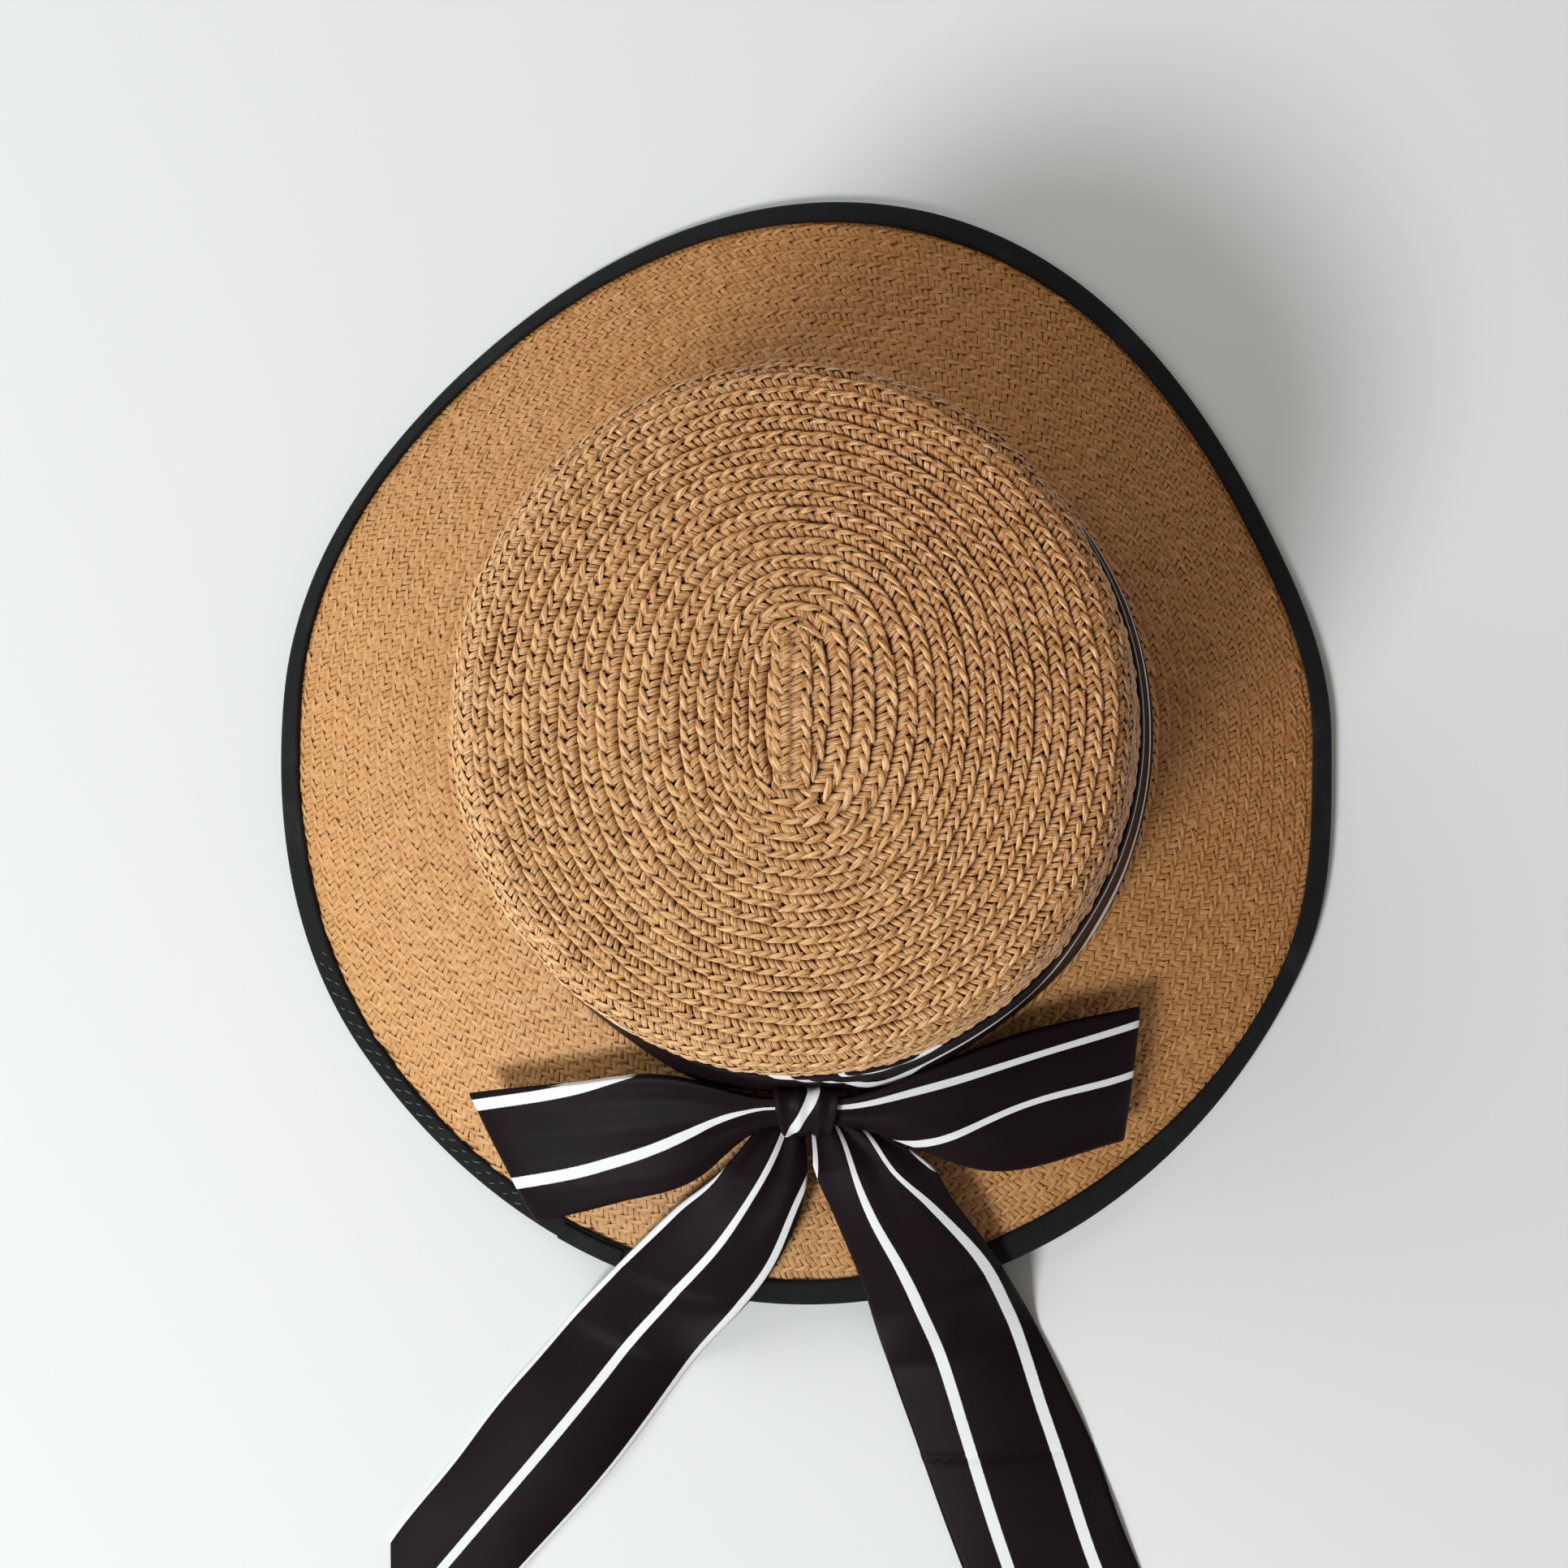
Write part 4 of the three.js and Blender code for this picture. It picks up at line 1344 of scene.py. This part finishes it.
def build_loop(name, rows, node, settings, length, salt):
    """A loop of the bow: out from the knot, over at its end and back underneath."""

    def share_of(u):
        return np.cos(np.pi * (u - 0.5))

    def place(u, v):
        bend = np.pi * (u - 0.5)
        share = np.cos(bend)
        row = table_curve(rows, share)
        swing, tilt = np.radians(row["turn"]), np.radians(row["tilt"])
        across = (v - 0.5) * row["width"]
        layer = -np.sin(bend)
        near = np.exp(-share / 0.42)
        fan = np.sin(v * 15.0 + 2.5 * share + salt)
        pleats = 2.4 * settings.pleat * near * share**0.6 * np.sign(fan) * np.abs(fan) ** 1.4
        soft = 0.9 * share * np.sin(5.0 * share + 3.0 * v + salt) * (0.4 + 0.6 * (layer > 0))
        arch = LOOP_ARCH * share * (1 - (2 * v - 1) ** 2)
        middle = ROOT_Z + row["lift"] - LOOP_SAG * share**2 - across * np.sin(tilt)
        z = middle + arch + layer * (LOOP_MOUTH + LOOP_SWELL * share) + pleats + soft
        level = across * np.cos(tilt)
        return stack(row["x"] + level * np.sin(swing), row["y"] - level * np.cos(swing), z)

    chart = stripe_chart(rows, share_of, 2 * length, True)
    sheet = sheet_mesh(name, place, chart, CUTS["loop"], SHEET_CUTS, SOFT_RIBBON)
    loop = dress(sheet, ribbon_material)
    finish_piece(loop, "satin_ribbon", node)


def rest_height(x, y):
    """The height of a ribbon's middle: on the brim, or past its edge down to the surface."""
    angle = np.arctan2(y, x)
    out = np.hypot(x, y) - ROOT_RADIUS
    edge = straw_reach(angle)
    on_brim = brim_point(angle, np.minimum(out, edge))[..., 2] / MM + TAIL_CLEARANCE
    down = ease(np.clip((out - edge) / TAIL_FALL, 0, 1))
    return on_brim + (RIBBON / 2 - on_brim) * down


def build_tail(name, rows, node, settings, length, lift, salt, creases=()):
    """A free end of the ribbon. It springs down from the knot, by lift over the brim there,
    and then lies over the brim's edge and on the surface. A crease has its start along the
    tail, its slope and its depth."""

    def place(u, v):
        row = table_curve(rows, u)
        heading = np.radians(row["turn"])
        across = (v - 0.5) * row["width"]
        x, y = row["x"] + across * np.cos(heading), row["y"] + across * np.sin(heading)
        hump = 1 - (2 * v - 1) ** 2
        near = np.exp(-u / 0.13)
        pleats = settings.pleat * near * np.clip(u / 0.03, 0, 1) * (1 + np.sin(v * 16.0 + salt))
        free = np.clip((u - 0.12) / 0.2, 0, 1)
        soft = settings.ripple * free * hump * (1 + np.sin(9.0 * u + 2.2 * v + salt)) * 0.5
        edge = 0.5 * free * (1 - hump) * (1 + np.sin(23 * u + salt)) * np.clip(4 - 4 * u, 0, 1)
        spring = lift * np.clip(u / 0.1, 0, 1) ** 0.5 * ease(np.clip((0.4 - u) / 0.3, 0, 1))
        z = rest_height(x, y) + row["arch"] * hump + pleats + soft + edge + spring
        for start, slope, depth in creases:
            z = z - depth * np.exp(-apart(u * length, (start + slope * v) * length, 0.8)) * hump**0.2
        return stack(x, y, np.maximum(z, RIBBON / 2))

    chart = stripe_chart(rows, lambda u: u, length, False)
    sheet = sheet_mesh(name, place, chart, CUTS["tail"], SHEET_CUTS, SOFT_RIBBON)
    tail = dress(sheet, ribbon_material)
    finish_piece(tail, "satin_ribbon", node)


def build_knot(settings):
    """The wrap that holds the bow: a short pleated ring of ribbon."""
    across = np.linspace(0, 1, 33)[None, :]
    turn = -around(CUTS["knot"])
    lean = math.radians(KNOT["lean"])

    def skin(inset, detail):
        pinch = 1 - 0.05 * np.sin(np.pi * across)
        pleat = 0.42 * settings.pleat * np.sin(across * 19.0 + 0.8 * np.sin(turn)) * detail
        edge = 0.3 * np.clip(1 - np.minimum(across, 1 - across) / 0.04, 0, 1) * detail
        long_ = (KNOT["long"] - inset) * pinch + pleat - edge
        short = (KNOT["short"] - inset) * pinch + pleat - edge
        a, b = long_ * np.cos(turn), short * np.sin(turn)
        x = KNOT["x"] + (across - 0.5) * KNOT["width"] * (0.84 + 0.16 * np.cos(turn))
        y = KNOT["y"] + a * math.cos(lean) - b * math.sin(lean)
        z = ROOT_Z + KNOT["lift"] + a * math.sin(lean) + b * math.cos(lean)
        return stack(x, y, z)

    points = np.concatenate([skin(0.1, 1.0), skin(RIBBON, 0.0)[:, ::-1]], axis=1)
    shares = np.concatenate([across, across[:, ::-1]], axis=1)
    v = (shares - 0.5) * KNOT["width"] + KNOT["stripe"] - KNOT["slant"] * np.cos(turn)
    u = np.broadcast_to(turn * 0.007, v.shape)
    knot = dress(loop_mesh("ribbon_knot", points, np.stack([u, v * MM], -1)), ribbon_material)
    finish_piece(knot, "satin_ribbon", "bow_knot")


def build_bow(settings):
    """The whole ribbon. The right tail has one old fold line across it."""
    build_band(settings)
    build_knot(settings)
    build_loop("ribbon_loop_left", LEFT_LOOP, "bow_loop_left", settings, length=84, salt=0.4)
    build_loop("ribbon_loop_right", RIGHT_LOOP, "bow_loop_right", settings, length=88, salt=2.1)
    build_tail(
        "ribbon_end_left", LEFT_TAIL, "ribbon_tail_left", settings, length=195, lift=6.0, salt=0.9
    )
    build_tail(
        "ribbon_end_right", RIGHT_TAIL, "ribbon_tail_right", settings, length=203, lift=9.0, salt=2.6,
        creases=[(0.54, 0.075, 0.9)],
    )


# ---------------------------------------------------------------------------
# Studio
# ---------------------------------------------------------------------------

CAMERA_AT = (12.863, -25.761, 604.586 + ROOT_Z)
CAMERA_BACK = (0.0305176, -0.0209281, 0.9993151)  # from the hat to the camera
SENSOR = 36.0
LENS = 51.1490683
LIGHT_COLOR = (0.945, 1.0, 1.0)
ROOM_COLOR = (1.0, 0.94, 0.88, 1)
ROOM_BELOW = 1.7  # how much stronger the room's light is from below, and above
ROOM_ABOVE = 0.6
FLOOR_HALF = 3.0  # metres

# Where each light stands and how wide it is, in metres.
KEY_LIGHT = ((-0.95, -1.13, 1.62), 0.66)
WINDOW_LIGHT = ((-1.2, 0.8, 1.1), 1.5)


def build_camera():
    """The camera looks down on the hat from almost straight above."""
    data = bpy.data.cameras.new("Camera")
    data.sensor_width = SENSOR
    data.lens = LENS
    data.clip_start, data.clip_end = 0.01, 20.0
    camera = bpy.data.objects.new("Camera", data)
    bpy.context.scene.collection.objects.link(camera)
    back = unit(np.array(CAMERA_BACK))
    side = unit(np.array((1.0, 0, 0)) - back[0] * back)
    up = np.cross(back, side)
    pose = Matrix((side, up, back)).transposed().to_4x4()
    pose.translation = [c * MM for c in CAMERA_AT]
    camera.matrix_world = pose
    bpy.context.scene.camera = camera


def area_light(name, at, size, power):
    """A round soft light that faces the hat from a place in metres."""
    data = bpy.data.lights.new(name, "AREA")
    data.shape = "DISK"
    data.color = LIGHT_COLOR
    data.size, data.energy = size, power
    light = bpy.data.objects.new(name, data)
    back = unit(np.array(at, float))
    side = unit(np.cross((0, 1, 0.01), back))
    pose = Matrix((side, np.cross(back, side), back)).transposed().to_4x4()
    pose.translation = at
    light.matrix_world = pose
    bpy.context.scene.collection.objects.link(light)


def build_room(settings):
    """Even light from all round, stronger from below, as pale surfaces give it back."""
    world = bpy.data.worlds.new("studio")
    world.use_nodes = True
    tree = world.node_tree
    background = tree.nodes["Background"]
    background.inputs["Color"].default_value = ROOM_COLOR
    direction = tree.nodes.new("ShaderNodeTexCoord")
    height = tree.nodes.new("ShaderNodeSeparateXYZ")
    level = tree.nodes.new("ShaderNodeMapRange")
    level.inputs["To Min"].default_value = settings.room * ROOM_BELOW
    level.inputs["To Max"].default_value = settings.room * ROOM_ABOVE
    tree.links.new(direction.outputs["Generated"], height.inputs[0])
    tree.links.new(height.outputs["Z"], level.inputs["Value"])
    tree.links.new(level.outputs[0], background.inputs["Strength"])
    bpy.context.scene.world = world


def build_studio(settings):
    """The surface under the hat, the camera and the lights."""
    build_camera()
    corners = [(x * FLOOR_HALF, y * FLOOR_HALF, 0) for x, y in ((-1, -1), (1, -1), (1, 1), (-1, 1))]
    floor = dress(new_object("surface", corners, [(0, 1, 2, 3)], smooth=False), floor_material)
    area_light("key", *KEY_LIGHT, settings.key)
    area_light("window", *WINDOW_LIGHT, settings.window)
    build_room(settings)
    bpy.context.scene.view_settings.view_transform = "Standard"


# ---------------------------------------------------------------------------
# Add-on
# ---------------------------------------------------------------------------


class BraidSettings(bpy.types.PropertyGroup):
    """How even the sewn braid is"""

    size_spread: bpy.props.FloatProperty(
        name="Size Spread", description="How much the stitches differ in size", default=0.14, min=0, max=0.5
    )
    tilt_spread: bpy.props.FloatProperty(
        name="Tilt Spread", description="How far stitches turn out of line", default=0.1, min=0, max=0.6,
        subtype="ANGLE", unit="ROTATION",
    )
    seed: bpy.props.IntProperty(name="Seed", description="Choice of uneven stitches", default=4, min=0)


class RibbonSettings(bpy.types.PropertyGroup):
    """How the ribbon is folded, in millimetres"""

    pleat: bpy.props.FloatProperty(
        name="Pleat", description="Depth of the pleats by the knot", default=0.9, min=0, max=2
    )
    ripple: bpy.props.FloatProperty(
        name="Ripple", description="Height of the soft waves in the tails", default=1.6, min=0, max=4
    )
    wrinkle: bpy.props.FloatProperty(
        name="Wrinkle", description="Strength of the band's slack folds", default=1.0, min=0, max=2
    )


class StudioSettings(bpy.types.PropertyGroup):
    """Lights round the hat"""

    key: bpy.props.FloatProperty(
        name="Key", description="Power of the main light", default=39.0, min=0, unit="POWER"
    )
    window: bpy.props.FloatProperty(
        name="Window", description="Broad light from the left", default=14.5, min=0, unit="POWER"
    )
    room: bpy.props.FloatProperty(
        name="Room", description="Even light from all round", default=0.29, min=0, max=2
    )


class HatOperator:
    """What all the operators share: each runs one builder, and any fault stops it"""

    bl_options = {"REGISTER", "UNDO"}

    def execute(self, context):
        self.build(context.scene)
        return {"FINISHED"}


class SUNHAT_OT_crown(HatOperator, bpy.types.Operator):
    """Sew the crown from spiral braid"""

    bl_idname = "sunhat.crown"
    bl_label = "Crown"

    def build(self, scene):
        build_crown(scene.sunhat_braid)


class SUNHAT_OT_brim(HatOperator, bpy.types.Operator):
    """Sew the brim's upper and under faces"""

    bl_idname = "sunhat.brim"
    bl_label = "Brim"

    def build(self, scene):
        build_brim(scene.sunhat_braid)


class SUNHAT_OT_binding(HatOperator, bpy.types.Operator):
    """Bind the brim's edge with tape"""

    bl_idname = "sunhat.binding"
    bl_label = "Binding"

    def build(self, scene):
        build_binding(scene.sunhat_braid)


class SUNHAT_OT_ribbon(HatOperator, bpy.types.Operator):
    """Tie the ribbon: band, knot, two loops and two tails"""

    bl_idname = "sunhat.ribbon"
    bl_label = "Ribbon"

    def build(self, scene):
        build_bow(scene.sunhat_ribbon)


class SUNHAT_OT_studio(HatOperator, bpy.types.Operator):
    """Set up the surface, the lights and the camera"""

    bl_idname = "sunhat.studio"
    bl_label = "Studio"

    def build(self, scene):
        build_studio(scene.sunhat_studio)


class SUNHAT_PT_panel(bpy.types.Panel):
    """The hat's settings and builders"""

    bl_label = "Sun Hat"
    bl_space_type = "VIEW_3D"
    bl_region_type = "UI"
    bl_category = "Sun Hat"

    def draw(self, context):
        column = self.layout.column()
        for group in ("sunhat_braid", "sunhat_ribbon", "sunhat_studio"):
            settings = getattr(context.scene, group)
            for name in settings.__annotations__:
                column.prop(settings, name)
        for operator in OPERATORS:
            column.operator(operator.bl_idname)


OPERATORS = (SUNHAT_OT_studio, SUNHAT_OT_crown, SUNHAT_OT_brim, SUNHAT_OT_binding, SUNHAT_OT_ribbon)
SETTINGS = {
    "sunhat_braid": BraidSettings, "sunhat_ribbon": RibbonSettings, "sunhat_studio": StudioSettings,
}


def register():
    """Adds the settings, the operators and the panel."""
    for cls in (*SETTINGS.values(), *OPERATORS, SUNHAT_PT_panel):
        bpy.utils.register_class(cls)
    for name, cls in SETTINGS.items():
        setattr(bpy.types.Scene, name, bpy.props.PointerProperty(type=cls))


def unregister():
    """Takes them away again."""
    for name in SETTINGS:
        delattr(bpy.types.Scene, name)
    for cls in (SUNHAT_PT_panel, *OPERATORS[::-1], *SETTINGS.values()):
        bpy.utils.unregister_class(cls)


def main():
    """Builds the hat with the add-on's own operators."""
    register()
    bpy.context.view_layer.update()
    for operator in OPERATORS:
        name = operator.bl_idname.split(".")[1]
        getattr(bpy.ops.sunhat, name)()


if __name__ == "__main__":
    main()
